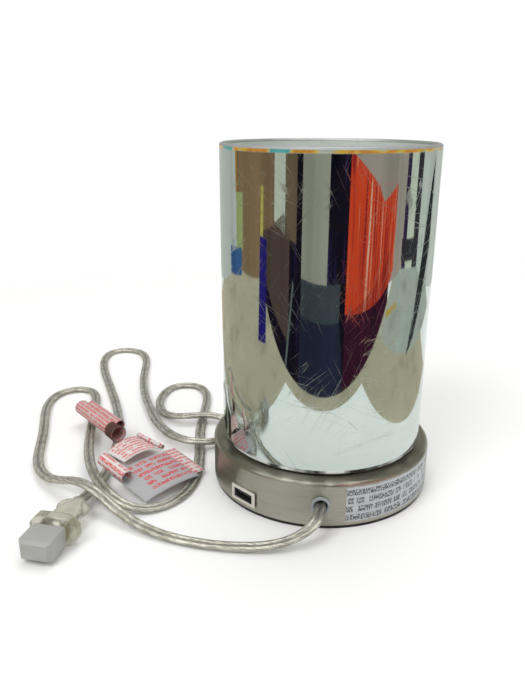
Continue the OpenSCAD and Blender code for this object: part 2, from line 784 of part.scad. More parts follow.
// The blade cap is a box with a bevelled nose, open towards the plug
module plug_cap() {
  w = pocket_w + 2 * blade_cap_wall;
  h = pocket_h + 2 * blade_cap_wall;
  l = pocket_l + blade_cap_wall;
  nose_side = 2.5;
  nose_top = 1.5;
  color([0.85, 0.86, 0.85]) plug() translate([0, blade_cap_y, 0]) difference() {
    intersection() {
      translate([0, 0, -h / 2]) linear_extrude(h) polygon(nosed(w, l, nose_side));
      rotate([90, 0, 90]) translate([0, 0, -w / 2]) linear_extrude(w)
        polygon([for (p = nosed(h, l, nose_top)) [p[1], p[0]]]);
    }
    translate([-pocket_w / 2, -pocket_l, -pocket_h / 2]) cube([pocket_w, pocket_l + past, pocket_h]);
  }
}

// Paper tags

module tag_roll() {
  r = tag_roll_d / 2;
  color([0.9, 0.88, 0.86]) translate(tag_roll_at) rotate([0, 0, tag_roll_turn]) rotate([0, 90, 0])
    translate([0, 0, -tag_roll_l / 2]) difference() {
      cylinder(r = r, h = tag_roll_l);
      translate([0, 0, -past]) cylinder(r = r - 2 * paper_t, h = tag_roll_l + 2 * past);
    }
}

// A strip of paper bowed along its length
module paper_strip(l, w, bow) {
  r = (l * l / 4 + bow * bow) / (2 * bow);
  half = asin(l / 2 / r);
  rotate([90, 0, 0]) translate([0, -r + bow, -w / 2]) linear_extrude(w) polygon(concat(
    arc([0, 0], r, 90 - half, 90 + half), arc([0, 0], r - paper_t, 90 + half, 90 - half)));
}

module tag_fan() {
  color([0.92, 0.9, 0.88]) translate(fan_at) rotate([0, 0, fan_turn]) paper_strip(fan_l, fan_w, fan_bow);
}

module tag_flag() {
  color([0.72, 0.72, 0.72]) translate(flag_at) rotate([0, 0, flag_turn]) rotate([flag_tilt, 0, 0])
    paper_strip(flag_l, flag_w, flag_bow);
}

foot_pad();
base_plate();
base_screws();
base_weight();
base_cover();
shade_gasket();
glass_shade();
threaded_nipple();
lock_washer();
touch_terminal();
lock_nut();
socket_shell();
screw_shell();
socket_contact();
ring_washer();
shade_ring();
bulb_tip();
bulb_insulator();
bulb_cap();
bulb_collar();
bulb_led_board();
bulb_globe();
touch_dimmer();
cord_clamp();
supply_leads();
socket_leads();
touch_lead();
cord_grommet();
usb_bezel();
usb_shell();
usb_tongue();
usb_contacts();
usb_board();
board_tape();
usb_transformer();
usb_capacitor();
usb_leads();
cord();
plug_body();
plug_blades();
plug_cap();
tag_roll();
tag_fan();
tag_flag();
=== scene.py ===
# %% [markdown]
# # A touch lamp with a mirrored glass shade
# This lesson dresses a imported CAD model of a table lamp. The CAD gives every rigid piece its place and
# size, and each cell adds one finish or one finer piece. The frame is loaded first, because nothing here
# may move it.

# %% Load the frame
import json
from math import atan2, cos, degrees, hypot, pi, radians, sin, sqrt, tau

import bmesh
import bpy
from mathutils import Matrix, Vector

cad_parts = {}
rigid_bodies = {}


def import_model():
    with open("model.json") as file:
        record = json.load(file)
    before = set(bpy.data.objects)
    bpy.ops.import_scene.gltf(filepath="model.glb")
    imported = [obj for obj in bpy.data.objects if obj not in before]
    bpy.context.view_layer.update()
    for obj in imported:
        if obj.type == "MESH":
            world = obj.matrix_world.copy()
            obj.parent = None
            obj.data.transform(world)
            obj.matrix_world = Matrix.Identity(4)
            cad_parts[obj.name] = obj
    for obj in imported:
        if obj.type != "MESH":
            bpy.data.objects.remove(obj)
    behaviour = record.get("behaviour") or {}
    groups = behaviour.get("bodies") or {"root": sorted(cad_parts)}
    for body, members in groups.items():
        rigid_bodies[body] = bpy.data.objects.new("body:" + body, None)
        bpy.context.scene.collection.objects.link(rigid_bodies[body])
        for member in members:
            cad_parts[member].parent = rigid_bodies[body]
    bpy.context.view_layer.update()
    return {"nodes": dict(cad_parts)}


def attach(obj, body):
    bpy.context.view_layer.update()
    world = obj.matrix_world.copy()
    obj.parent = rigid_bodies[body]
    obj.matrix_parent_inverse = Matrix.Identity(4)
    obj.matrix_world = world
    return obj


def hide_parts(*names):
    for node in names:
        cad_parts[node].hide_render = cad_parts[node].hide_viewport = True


for leftover in list(bpy.data.objects):
    bpy.data.objects.remove(leftover)
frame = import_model()
nodes = frame["nodes"]
MM = 0.001

# %% [markdown]
# ## The camera
# The photograph was taken from a little above the rim, close to the lamp, so the glass tapers towards its
# foot. A camera can be turned by hand until the picture looks right, but its directions were measured here
# from the outlines of the glass and the base. Writing them as the columns of a matrix keeps them exactly.

# %% Camera
def into_scene(name, data):
    """A new object with this data, linked to the scene."""
    made = bpy.data.objects.new(name, data)
    bpy.context.scene.collection.objects.link(made)
    return made


SENSOR_MM, LENS_MM = 36, 46.02
CAMERA_AT = Vector((-9.85, -347.24, 195.28))
to_right = Vector((0.9977, 0.0673, 0.0029)).normalized()
to_front = Vector((-0.0625, 0.9411, -0.3323)).normalized()
to_top = to_right.cross(to_front).normalized()
turn = Matrix((to_right, to_top, -to_front)).transposed().to_4x4()
camera_data = bpy.data.cameras.new("photo_camera")
camera_data.sensor_fit = "HORIZONTAL"
camera_data.sensor_width = SENSOR_MM
camera_data.lens = LENS_MM
camera = into_scene("photo_camera", camera_data)
camera.matrix_world = Matrix.Translation(CAMERA_AT * MM) @ turn
bpy.context.scene.camera = camera
print("camera at", [round(c, 3) for c in camera.location])

# %% [markdown]
# ## Finishes from nodes
# A picture could be wrapped round each piece, but it blurs close up. Here each finish is a Principled
# shader with a little texture on its colour, roughness or bump. The texture is read in Object coordinates,
# in metres, so a scale of 1000 gives grain of about a millimetre. These small helpers keep the node trees
# readable. A value that is the same all over is set on the shader's own socket.

# %% Finish helpers
finish = {}


def new_finish(name, colour, rough, metal=0.0, **sockets):
    """Adds a finish with a Principled shader; more sockets are set by name, with _ for a space."""
    made = bpy.data.materials.new(name)
    made.use_nodes = True
    shader = made.node_tree.nodes["Principled BSDF"]
    shader.inputs["Base Color"].default_value = (*colour, 1)
    shader.inputs["Roughness"].default_value = rough
    shader.inputs["Metallic"].default_value = metal
    for key, value in sockets.items():
        shader.inputs[key.replace("_", " ")].default_value = value
    finish[name] = made
    return made.node_tree, shader


def add(tree, kind, **values):
    """A new node; values are its settings, or its inputs when the name starts with in_."""
    node = tree.nodes.new("ShaderNode" + kind)
    for key, value in values.items():
        if key.startswith("in_"):
            node.inputs[key[3:].replace("_", " ")].default_value = value
        else:
            setattr(node, key, value)
    return node


def feed(node, **outputs):
    """Links outputs to a node's inputs, named with _ for a space; id_data is the tree that holds the node."""
    for key, output in outputs.items():
        node.id_data.links.new(output, node.inputs[key.replace("_", " ")])


print("finish helpers ready")

# %% Texture helpers
def object_coords(tree, scale=(1, 1, 1), rotation=(0, 0, 0)):
    """Object coordinates, first turned and then stretched, as a Mapping node of the texture kind does it."""
    size = tuple(1 / s for s in scale)
    mapping = add(tree, "Mapping", vector_type="TEXTURE", in_Scale=size, in_Rotation=rotation)
    feed(mapping, Vector=add(tree, "TexCoord").outputs["Object"])
    return mapping.outputs["Vector"]


def noise(vector, scale, detail=3.0, rough=0.55):
    texture = add(vector.id_data, "TexNoise", in_Scale=scale, in_Detail=detail, in_Roughness=rough)
    feed(texture, Vector=vector)
    return texture.outputs["Fac"]


def ramp(factor, stops):
    """A colour ramp through (position, colour or grey) stops."""
    node = add(factor.id_data, "ValToRGB")
    elements = node.color_ramp.elements
    while len(elements) < len(stops):
        elements.new(0.5)
    for element, (place, colour) in zip(elements, stops):
        grey = isinstance(colour, (int, float))
        element.position = place
        element.color = (colour, colour, colour, 1) if grey else (*colour, 1)
    feed(node, Fac=factor)
    return node.outputs["Color"]


def mixed(factor, a, b):
    """Colour a where the factor is 0, and colour b where it is 1."""
    tree = factor.id_data
    node = add(tree, "Mix", data_type="RGBA")
    tree.links.new(factor, node.inputs[0])
    for socket, value in ((node.inputs[6], a), (node.inputs[7], b)):
        if isinstance(value, tuple):
            socket.default_value = (*value, 1)
        else:
            tree.links.new(value, socket)
    return node.outputs[2]


def bumped(shader, height, strength, distance):
    node = add(shader.id_data, "Bump", in_Strength=strength, in_Distance=distance)
    feed(node, Height=height)
    feed(shader, Normal=node.outputs["Normal"])


print("texture helpers ready")

# %% Arithmetic helpers
def math_node(operation, a, b=0.0):
    """One step of arithmetic; a and b are numbers or outputs of nodes."""
    tree = (b if isinstance(a, (int, float)) else a).id_data
    node = add(tree, "Math", operation=operation)
    for socket, value in zip(node.inputs, (a, b)):
        if isinstance(value, (int, float)):
            socket.default_value = value
        else:
            tree.links.new(value, socket)
    return node.outputs[0]


def times(a, b):
    return math_node("MULTIPLY", a, b)


def plus(a, b):
    return math_node("ADD", a, b)


def apart(vector):
    """A vector's X, Y and Z, each as an output of its own."""
    node = add(vector.id_data, "SeparateXYZ")
    feed(node, Vector=vector)
    return node.outputs


def joined(tree, **axes):
    """A vector from outputs for X, Y and Z; one that is left out is 0."""
    node = add(tree, "CombineXYZ")
    feed(node, **axes)
    return node.outputs[0]


def distance(vector):
    node = add(vector.id_data, "VectorMath", operation="LENGTH")
    node.id_data.links.new(vector, node.inputs[0])
    return node.outputs["Value"]


print("arithmetic helpers ready")

# %% [markdown]
# A moulded plastic, a cast surface or a drawn sheet differs mostly in its colour, its gloss and the size of
# its grain. Each could have its own node tree, but one helper with a few numbers makes all these plain
# finishes: a soft mottle on the colour, and a fine grain on the gloss and the bump.

# %% Plain finishes
GRAINS_TO_A_CLOUD, GRAIN_STRENGTH, GLOSS_SPREAD = 12, 0.3, 0.15


def grained(name, colour, rough, metal=0.0, grain=1500, mottle=0.06, depth=0.02, **sockets):
    """grain is counted to a metre, mottle is a share of the colour, and depth is in millimetres."""
    tree, shader = new_finish(name, colour, rough, metal, **sockets)
    where = object_coords(tree)
    dark = tuple(c * (1 - mottle) for c in colour)
    light = tuple(min(1.0, c * (1 + mottle)) for c in colour)
    cloudy = noise(where, grain / GRAINS_TO_A_CLOUD)
    fine = noise(where, grain, detail=4)
    glossy, dull = rough * (1 - GLOSS_SPREAD), min(1, rough * (1 + GLOSS_SPREAD))
    feed(shader, Base_Color=ramp(cloudy, [(0.3, dark), (0.7, light)]),
         Roughness=ramp(fine, [(0.3, glossy), (0.7, dull)]))
    bumped(shader, fine, GRAIN_STRENGTH, depth * MM)


grained("foot_foam", (0.012, 0.012, 0.012), 0.8, grain=3500, mottle=0.5, depth=0.12)
grained("gasket_rubber", (0.010, 0.010, 0.011), 0.7, grain=1800, mottle=0.3)
grained("zinc_plate", (0.60, 0.61, 0.63), 0.32, 1.0, mottle=0.08)
grained("dull_brass", (0.42, 0.36, 0.22), 0.36, 1.0, grain=1600, mottle=0.15)
grained("tinned_copper", (0.62, 0.62, 0.58), 0.36, 1.0, grain=1600, mottle=0.15)
grained("cast_weight", (0.055, 0.055, 0.058), 0.7, 0.6, grain=900, mottle=0.25, depth=0.25)
grained("rolled_brass", (0.72, 0.53, 0.24), 0.28, 1.0, grain=1600, mottle=0.12)
grained("ivory_phenolic", (0.80, 0.78, 0.70), 0.38, grain=1400, mottle=0.03)
grained("white_moulding", (0.82, 0.80, 0.76), 0.30, grain=1600, mottle=0.03)
grained("cream_frame", (0.60, 0.57, 0.49), 0.34, grain=1600, mottle=0.04)
grained("fibre_sheet", (0.56, 0.55, 0.52), 0.75, grain=2600, mottle=0.12, depth=0.05)
grained("grey_moulding", (0.27, 0.29, 0.30), 0.30, grain=2000, mottle=0.08)
grained("black_moulding", (0.016, 0.016, 0.018), 0.42, grain=1800, mottle=0.2)
grained("drawn_aluminium", (0.66, 0.66, 0.65), 0.30, 1.0, grain=1300, mottle=0.08)
grained("solder_mask", (0.015, 0.13, 0.05), 0.35, grain=700, mottle=0.35)
grained("foam_tape", (0.70, 0.70, 0.64), 0.85, grain=2200, mottle=0.1, depth=0.08)
grained("winding_tape", (0.70, 0.50, 0.05), 0.35, grain=900, mottle=0.12)
grained("shrink_sleeve", (0.02, 0.03, 0.16), 0.30, grain=1200, mottle=0.15)
grained("white_lead", (0.70, 0.70, 0.66), 0.45, mottle=0.05)
grained("black_lead", (0.02, 0.02, 0.02), 0.45, mottle=0.2)
grained("red_lead", (0.45, 0.02, 0.02), 0.45, mottle=0.1)
grained("diffuser", (0.86, 0.86, 0.83), 0.42, mottle=0.02, Subsurface_Weight=0.15)
print(len(finish), "plain finishes")

# %% [markdown]
# ## Brushed nickel
# The base was brushed while it turned, so the lines run round it: level on the side and in rings on the
# top. Along a line the tone hardly changes, and across it the tone changes within a fraction of a
# millimetre. Two textures could serve, one for each face. But height plus distance from the axis grows
# across the lines on both faces, so one stretched noise is enough.

# %% Brushed nickel
NICKEL_DARK, NICKEL_LIGHT = (0.335, 0.33, 0.275), (0.455, 0.45, 0.385)
LINES_TO_A_METRE, CHANGES_TO_A_METRE = 4200, 26
NICKEL_GLOSS, LINE_STRENGTH, LINE_DEPTH = [(0.25, 0.24), (0.75, 0.40)], 0.12, 0.01


def brushed_nickel():
    tree, shader = new_finish("brushed_nickel", (0.40, 0.39, 0.355), 0.34, 1.0, Anisotropic=0.94,
                              Anisotropic_Rotation=0.25)
    place = apart(object_coords(tree))
    across = plus(place["Z"], distance(joined(tree, X=place["X"], Y=place["Y"])))
    lines = joined(tree, X=times(place["X"], CHANGES_TO_A_METRE),
                   Y=times(place["Y"], CHANGES_TO_A_METRE), Z=times(across, LINES_TO_A_METRE))
    hair = noise(lines, 1.0, detail=4, rough=0.6)
    around = add(tree, "Tangent", direction_type="RADIAL", axis="Z")
    feed(shader, Base_Color=ramp(hair, [(0.25, NICKEL_DARK), (0.75, NICKEL_LIGHT)]),
         Roughness=ramp(hair, NICKEL_GLOSS), Tangent=around.outputs[0])
    bumped(shader, hair, LINE_STRENGTH, LINE_DEPTH * MM)


brushed_nickel()
print("brushed nickel: lines about", round(1 / LINES_TO_A_METRE / MM, 2), "mm apart")

# %% [markdown]
# ## Mirrored glass
# The glass is mirrored and well used. Hairline scratches cross it in every direction, thickest in a few
# patches. A noise gives soft blotches and not lines, so the scratches are the borders of a Voronoi texture
# whose cells are stretched long and thin. Turning the stretch another way for each set crosses the lines.

# %% Scratches
LONG_CELLS, THIN_CELLS, PATCHES = 9, 170, 38
SCRATCH_SETS = [(0.5, 0.2, 1), (-0.8, 0.1, 1.3), (1.1, -0.2, 0.9), (-1.2, 0.3, 1.2), (0.1, 0.4, 0.8)]


def hairlines(tree):
    """Thin lines along the borders of long cells, in tilted sets that are kept to a few patches."""
    lines = 0.0
    for tilt, lean, scale in SCRATCH_SETS:
        cells = add(tree, "TexVoronoi", feature="DISTANCE_TO_EDGE", in_Scale=1.0)
        counts = (LONG_CELLS * scale, LONG_CELLS * scale, THIN_CELLS * scale)
        feed(cells, Vector=object_coords(tree, counts, (lean, tilt, 0)))
        line = ramp(cells.outputs["Distance"], [(0.005, 1.0), (0.014, 0.0)])
        worn = noise(object_coords(tree, rotation=(tilt, lean, 1)), PATCHES * scale, detail=2)
        line = times(line, ramp(worn, [(0.47, 0.0), (0.62, 1.0)]))
        lines = math_node("MAXIMUM", lines, line)
    return lines


print(len(SCRATCH_SETS), "sets of scratches")

# %% [markdown]
# The coating breaks into rainbow colours along the lip. The rolled heel has patches of painted highlight for
# its glints, and its underside is painted near-black, painted shade for the dark gap above the base. Each
# could be a strip of faces with its own finish, but then its edge would be hard. Here the height of a point
# fades one band into the next, and the bands are less mirror-like than the rest. Inside, the coating is
# duller.

# %% Mirrored glass
# The four heights are in metres, as Object coordinates are.
LIP_FOOT, LIP_TOP, HEEL_FOOT, HEEL_TOP = 0.1785, 0.1823, 0.0263, 0.0298
HAZE_SCALE, RAINBOW_SCALE, GLINT_SCALE, GLINT_UPRIGHT = 60, 48, 70, 0.02
TEAL, GOLD, ORANGE, BARE = (0.06, 0.32, 0.31), (0.58, 0.40, 0.05), (0.50, 0.20, 0.03), (0.36, 0.40, 0.38)
RAINBOW = [(0.40, TEAL), (0.43, TEAL), (0.45, BARE), (0.48, GOLD), (0.54, ORANGE), (0.58, GOLD), (0.62, BARE)]
# The colours of the painted highlights on the heel.
GLINTS = [(0.42, (0.03, 0.035, 0.035)), (0.50, (0.40, 0.43, 0.41)), (0.57, (0.93, 0.95, 0.94))]
SILVER = [(0.3, (0.51, 0.585, 0.55)), (0.7, (0.56, 0.625, 0.59))]
# The near-black colour here is painted shade under the heel, where the gap above the base is dark.
LIP_GREY, UNDERSIDE_SHADE = (0.34, 0.36, 0.36), (0.008, 0.008, 0.009)
SCRATCH_DULLS, END_DULLS, END_CLEARS = 0.26, 0.32, 0.75


def height_share(tree, low, high):
    """How far up a point lies between two heights, from 0 to 1."""
    share = add(tree, "MapRange", in_From_Min=low, in_From_Max=high)
    feed(share, Value=apart(object_coords(tree))["Z"])
    return share.outputs["Result"]


def mirrored_glass():
    tree, shader = new_finish("mirrored_glass", (0.54, 0.60, 0.57), 0.03, 1.0)
    where = object_coords(tree)
    climb = height_share(tree, LIP_FOOT, LIP_TOP)
    band = ramp(climb, [(0.20, 0.0), (0.34, 1.0), (0.62, 1.0), (0.72, 0.0)])
    edge = ramp(climb, [(0.62, 0.0), (0.72, 1.0)])
    rise = height_share(tree, HEEL_FOOT, HEEL_TOP)
    under = ramp(rise, [(0.20, 1.0), (0.30, 0.0)])
    heel = ramp(rise, [(0.30, 0.0), (0.38, 1.0), (0.86, 1.0), (0.97, 0.0)])
    haze = noise(where, HAZE_SCALE, detail=4)
    rainbow = ramp(noise(where, RAINBOW_SCALE, detail=2), RAINBOW)
    colour = mixed(band, ramp(haze, SILVER), rainbow)
    colour = mixed(edge, colour, LIP_GREY)
    # Painted highlights: bright and dark patches on the heel stand for its glints.
    upright = noise(object_coords(tree, (1, 1, GLINT_UPRIGHT)), GLINT_SCALE, detail=2)
    colour = mixed(heel, colour, ramp(upright, GLINTS))
    # Painted shade: the heel's underside turns near-black.
    colour = mixed(under, colour, UNDERSIDE_SHADE)
    worn = plus(ramp(haze, [(0.35, 0.02), (0.75, 0.05)]), times(hairlines(tree), SCRATCH_DULLS))
    dull = times(plus(edge, under), END_DULLS)
    ends = plus(plus(band, edge), plus(heel, under))
    metal = math_node("SUBTRACT", 1.0, times(ends, END_CLEARS))
    feed(shader, Base_Color=colour, Roughness=plus(worn, dull), Metallic=metal)


mirrored_glass()
grained("coated_inside", (0.70, 0.74, 0.72), 0.44, 0.6, grain=500, depth=0.004)
grained("glass_lip", (0.42, 0.45, 0.44), 0.34, 0.6, grain=900, mottle=0.12)
print("mirrored glass: lip band", round((LIP_TOP - LIP_FOOT) / MM, 1), "mm high")

# %% [markdown]
# ## The glass cylinder
# The shade is blown glass with a floor, a rolled heel and a fire-polished rim. A cylinder with a Solidify
# modifier would have square edges. The glass is one closed outline turned round the axis, so a spin is the
# natural tool. The CAD solid has the same sizes; the spin adds finer rounds.

# %% Turning helpers
def arc_points(centre, radius, start, end, count):
    """Points (x, z) of an arc, in millimetres, angles in degrees."""
    steps = [radians(start + (end - start) * i / count) for i in range(count + 1)]
    return [(centre[0] + radius * cos(a), centre[1] + radius * sin(a)) for a in steps]


def ring(bm, points):
    """A closed loop of edges through some points; gives its corners and its edges."""
    corners = [bm.verts.new(p) for p in points]
    return corners, [bm.edges.new(pair) for pair in zip(corners, corners[1:] + corners[:1])]


def turned(outline, steps):
    """Spins a closed outline of (radius, height) points in millimetres round the Z axis."""
    bm = bmesh.new()
    corners, edges = ring(bm, [(x * MM, 0, z * MM) for x, z in outline])
    bmesh.ops.spin(bm, geom=corners + edges, axis=(0, 0, 1), cent=(0, 0, 0),
                   angle=tau, steps=steps, use_merge=True)
    bmesh.ops.remove_doubles(bm, verts=bm.verts, dist=0.001 * MM)
    bmesh.ops.recalc_face_normals(bm, faces=bm.faces)
    return bm


def mesh_from(name, bm):
    mesh = bpy.data.meshes.new(name)
    bm.to_mesh(mesh)
    bm.free()
    return mesh


def piece(name, bm, finishes, body="lamp", sharp=35):
    """Puts a bmesh into the scene as a smooth-shaded piece, with finishes by name, that rides on a body."""
    mesh = mesh_from(name, bm)
    mesh.shade_smooth()
    mesh.set_sharp_from_angle(angle=radians(sharp))
    for kind in finishes:
        mesh.materials.append(finish[kind])
    made = into_scene(name, mesh)
    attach(made, body)
    print(f"{name}: {len(mesh.polygons)} faces")
    return made


print("a quarter round has", len(arc_points((0, 0), 1, 0, 90, 6)), "points")

# %% Glass shade
GLASS_R, GLASS_Z, GLASS_H, WALL, FLOOR, HEEL = 54.5, 26.3, 156.0, 3.0, 4.0, 3.5
HOLE_R, FLOOR_ROUND, GLASS_STEPS = 20.7, 1, 256
OUTER_RINGS, INNER_RINGS = range(12, 148, 8), range(144, 8, -8)
MIRROR, INSIDE, LIP = range(3)
rim = GLASS_H - WALL / 2
floor_corner = (GLASS_R - WALL - FLOOR_ROUND, FLOOR + FLOOR_ROUND)
shade_outline = [(HOLE_R, 0)] + arc_points((GLASS_R - HEEL, HEEL), HEEL, -90, 0, 14)
shade_outline += [(GLASS_R, h) for h in OUTER_RINGS]
shade_outline += arc_points((GLASS_R - WALL / 2, rim), WALL / 2, 0, 180, 14)
shade_outline += [(GLASS_R - WALL, h) for h in INNER_RINGS]
shade_outline += arc_points(floor_corner, FLOOR_ROUND, 0, -90, 4) + [(HOLE_R, FLOOR)]
shade_bm = turned([(x, z + GLASS_Z) for x, z in shade_outline], GLASS_STEPS)
for face in shade_bm.faces:
    middle = face.calc_center_median() / MM
    face.material_index = MIRROR
    if middle.xy.length < GLASS_R - WALL / 2:
        face.material_index = LIP if middle.z > GLASS_Z + rim else INSIDE
glass = piece("shade_glass", shade_bm, ["mirrored_glass", "coated_inside", "glass_lip"])
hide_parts("glass_shade")

# %% [markdown]
# ## The cord
# The lead is clear flat twin flex: two bundles of bright wire in one soft jacket with a groove down the
# middle. It lies loose on the table. A curve with a bevel could follow the same route, but a flat section
# would roll over in the bends. So the route is a short list of points that a smooth spline runs along, and
# an outline is carried along it and kept level.

# %% Cord route
LIE, ROUTE_STEPS = 1.8, 8
CORD_ROUTE = [
    (0, -46, 13.5), (0, -63, 13.5), (-2, -75, 12), (-18, -82, 4), (-48, -81, LIE), (-80, -74, LIE),
    (-104, -59, 5), (-124, -45, 16), (-146, -35, 5), (-166, -10, LIE), (-174, 30, LIE),
    (-192, 74, LIE), (-188, 102, LIE), (-164, 106, LIE), (-155, 78, LIE),
    (-138, 0, 6.5), (-118, -44, 11), (-94, -58, LIE), (-72, -42, LIE), (-67, -8, LIE), (-78, 44, LIE),
    (-77, 92, LIE), (-85, 118, LIE), (-109, 118, LIE), (-114, 90, LIE), (-106, 62, 2),
    (-88, 50, 7), (-68, 62, 5), (-47, 48, LIE), (-58, 22, 4), (-80, 14, 7), (-104, 38, 4),
    (-134, 118, LIE), (-138, 166, LIE), (-150, 194, LIE), (-179, 192, LIE), (-176, 152, LIE),
    (-128, 56, LIE), (-118, -22, 2), (-123, -55, 7.6),
]


def spline(points, steps):
    """Points along a uniform cubic spline that starts and ends on the first and last points."""
    p = [Vector(q) for q in points]
    p = [2 * p[0] - p[1], *p, 2 * p[-1] - p[-2]]
    run = []
    for a, b, c, d in zip(p, p[1:], p[2:], p[3:]):
        for t in (k / steps for k in range(steps)):
            run.append((a * (1 - t) ** 3 + b * (3 * t ** 3 - 6 * t * t + 4)
                        + c * (-3 * t ** 3 + 3 * t * t + 3 * t + 1) + d * t ** 3) / 6)
    return run + [Vector(points[-1])]


cord_path = spline(CORD_ROUTE, ROUTE_STEPS)

# %% [markdown]
# Each step along the route is a loop of points, and bridging the loops makes the skin. The jacket's outline
# is a figure of eight. It could be two circles joined, but one formula for the distance from its middle
# gives a smoother groove.

# %% Bridging helpers
def lofted(bm, loops, closed=True):
    """Bridges a row of loops of points, fills both ends if closed, and gives the loops' corners."""
    rings = [ring(bm, loop) for loop in loops]
    rows = [edges for corners, edges in rings]
    for a, b in zip(rows, rows[1:]):
        bmesh.ops.bridge_loops(bm, edges=a + b)
    if closed:
        for row in (rows[0], rows[-1]):
            bmesh.ops.edgeloop_fill(bm, edges=row)
    return [corners for corners, edges in rings]


def swept(bm, path, outline):
    """Carries an outline of (across, up) points level along a path; its UV map holds millimetres along."""
    loops, travel, gone = [], [], 0.0
    for i, at in enumerate(path):
        ahead = (path[min(i + 1, len(path) - 1)] - path[max(i - 1, 0)]).normalized()
        across = ahead.cross(Vector((0, 0, 1))).normalized()
        up = across.cross(ahead)
        loops.append([(at + across * x + up * z) * MM for x, z in outline])
        gone += (at - path[max(i - 1, 0)]).length
        travel.append(gone)
    where = {corner: (k, far) for row, far in zip(lofted(bm, loops), travel) for k, corner in enumerate(row)}
    layer = bm.loops.layers.uv.verify()
    count = len(outline)
    for face in bm.faces:
        if len(face.verts) == 4 and face.verts[0] in where:
            seam = any(where[corner][0] == count - 1 for corner in face.verts)
            for corner in face.loops:
                k, far = where[corner.vert]
                corner[layer].uv = ((count if seam and k == 0 else k) / count, far)


CORD_W, CORD_WAIST, CORD_SQUASH, CORD_SIDES = 6.0, 1.7, 0.95, 28
jacket_outline = []
for k in range(CORD_SIDES):
    angle = tau * k / CORD_SIDES
    reach = hypot(CORD_W / 2 * cos(angle), CORD_WAIST / 2 * sin(angle))
    jacket_outline.append((reach * cos(angle), CORD_SQUASH * reach * sin(angle)))
print("jacket outline:", CORD_SIDES, "points,", round(2 * max(z for x, z in jacket_outline), 2), "mm thick")

# %% [markdown]
# The jacket is clear and the wire inside it glitters. One silvery tube would look painted, so the jacket
# passes light and the bundles are pieces of their own. The single wires are too fine to model: slanting
# lines on the bundle's UV map stand for them. Across each line runs a painted highlight and painted shade,
# with painted shade in the gaps, and patches of painted glint make some wires bright and leave others dull.

# %% Cord finishes
CLOUD_SCALE, CLOUD_DIMS, SCUFF_SCALE, GLOSSIER, DULLER = 180, 0.90, 320, 0.8, 1.25
# GLITTER stretches the patches of painted glint along the cord.
WIRES_ROUND, WIRE_SLANT, GLITTER, WIRE_STRENGTH, WIRE_DEPTH = 9, 0.26, 0.12, 0.6, 0.1
# Painted light on the wires: a lit and a shaded colour across each wire, and dark colours for painted shade
# in the gaps.
GAP_SHADE_LIT, WIRE_LIT, WIRE_SHADED = (0.16, 0.15, 0.12), (0.97, 0.96, 0.90), (0.70, 0.69, 0.62)
# The colours of wires without a painted glint, with the painted shade in their gaps.
GAP_SHADE_UNLIT, WIRE_UNLIT = (0.12, 0.115, 0.09), (0.50, 0.49, 0.41)


def clear_plastic(name, colour, through, rough):
    """Soft clear plastic: partly see-through, a little clouded, with fine scuffs on its gloss."""
    tree, shader = new_finish(name, colour, rough, IOR=1.5, Transmission_Weight=through)
    cloudy = noise(object_coords(tree), CLOUD_SCALE)
    scuffs = noise(object_coords(tree), SCUFF_SCALE)
    dim = tuple(c * CLOUD_DIMS for c in colour)
    feed(shader, Base_Color=ramp(cloudy, [(0.35, dim), (0.65, colour)]),
         Roughness=ramp(scuffs, [(0.35, rough * GLOSSIER), (0.7, rough * DULLER)]))


def uv_parts(tree):
    parts = apart(add(tree, "TexCoord").outputs["UV"])
    return parts["X"], parts["Y"]


def stranded_wire():
    tree, shader = new_finish("stranded_wire", (0.74, 0.73, 0.66), 0.28, 1.0)
    round_it, along = uv_parts(tree)
    slant = plus(times(round_it, WIRES_ROUND), times(along, WIRE_SLANT))
    wave = math_node("FRACT", slant)
    # Each wire gets a painted highlight on one side and painted shade on the other and in the gaps.
    bright = ramp(wave, [(0.0, GAP_SHADE_LIT), (0.3, WIRE_LIT), (0.7, WIRE_SHADED), (1.0, GAP_SHADE_LIT)])
    dull = ramp(wave, [(0.0, GAP_SHADE_UNLIT), (0.5, WIRE_UNLIT), (1.0, GAP_SHADE_UNLIT)])
    # Patches of painted glint pick the wires that take the lit colours; the rest stay dull.
    turns = joined(tree, X=math_node("FLOOR", slant), Y=times(along, GLITTER))
    lit = ramp(noise(turns, 1.0, detail=1), [(0.42, 0.0), (0.56, 1.0)])
    feed(shader, Base_Color=mixed(lit, dull, bright))
    crest = ramp(wave, [(0.0, 0.0), (0.5, 1.0), (1.0, 0.0)])
    bumped(shader, crest, WIRE_STRENGTH, WIRE_DEPTH * MM)


clear_plastic("clear_jacket", (0.90, 0.895, 0.82), 0.88, 0.06)
stranded_wire()
print("cord finishes:", WIRES_ROUND, "wires round a bundle")

# %% Cord pieces
CORE_R, CORE_X, CORE_SIDES = 0.85, 1.5, 12
cord_bm = bmesh.new()
swept(cord_bm, cord_path, jacket_outline)
bmesh.ops.recalc_face_normals(cord_bm, faces=cord_bm.faces)
cord_jacket = piece("cord_jacket", cord_bm, ["clear_jacket"])
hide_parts("cord")

strand_bm = bmesh.new()
core_angles = [tau * k / CORE_SIDES for k in range(CORE_SIDES)]
for side in (-CORE_X, CORE_X):
    swept(strand_bm, cord_path, [(side + CORE_R * cos(a), CORE_R * sin(a)) for a in core_angles])
bmesh.ops.recalc_face_normals(strand_bm, faces=strand_bm.faces)
cord_strands = piece("cord_strands", strand_bm, ["stranded_wire"])

# %% [markdown]
# ## The plug
# The plug is moulded on the lead in clear plastic: a nub for the cord, two ears for the fingers, a waist,
# and a broad flange with cut corners in front. It could be put together from blocks, but it changes its
# section all along, so it is bridged from loop to loop as the cord is. One formula gives every section,
# from a soft oval to an octagon.

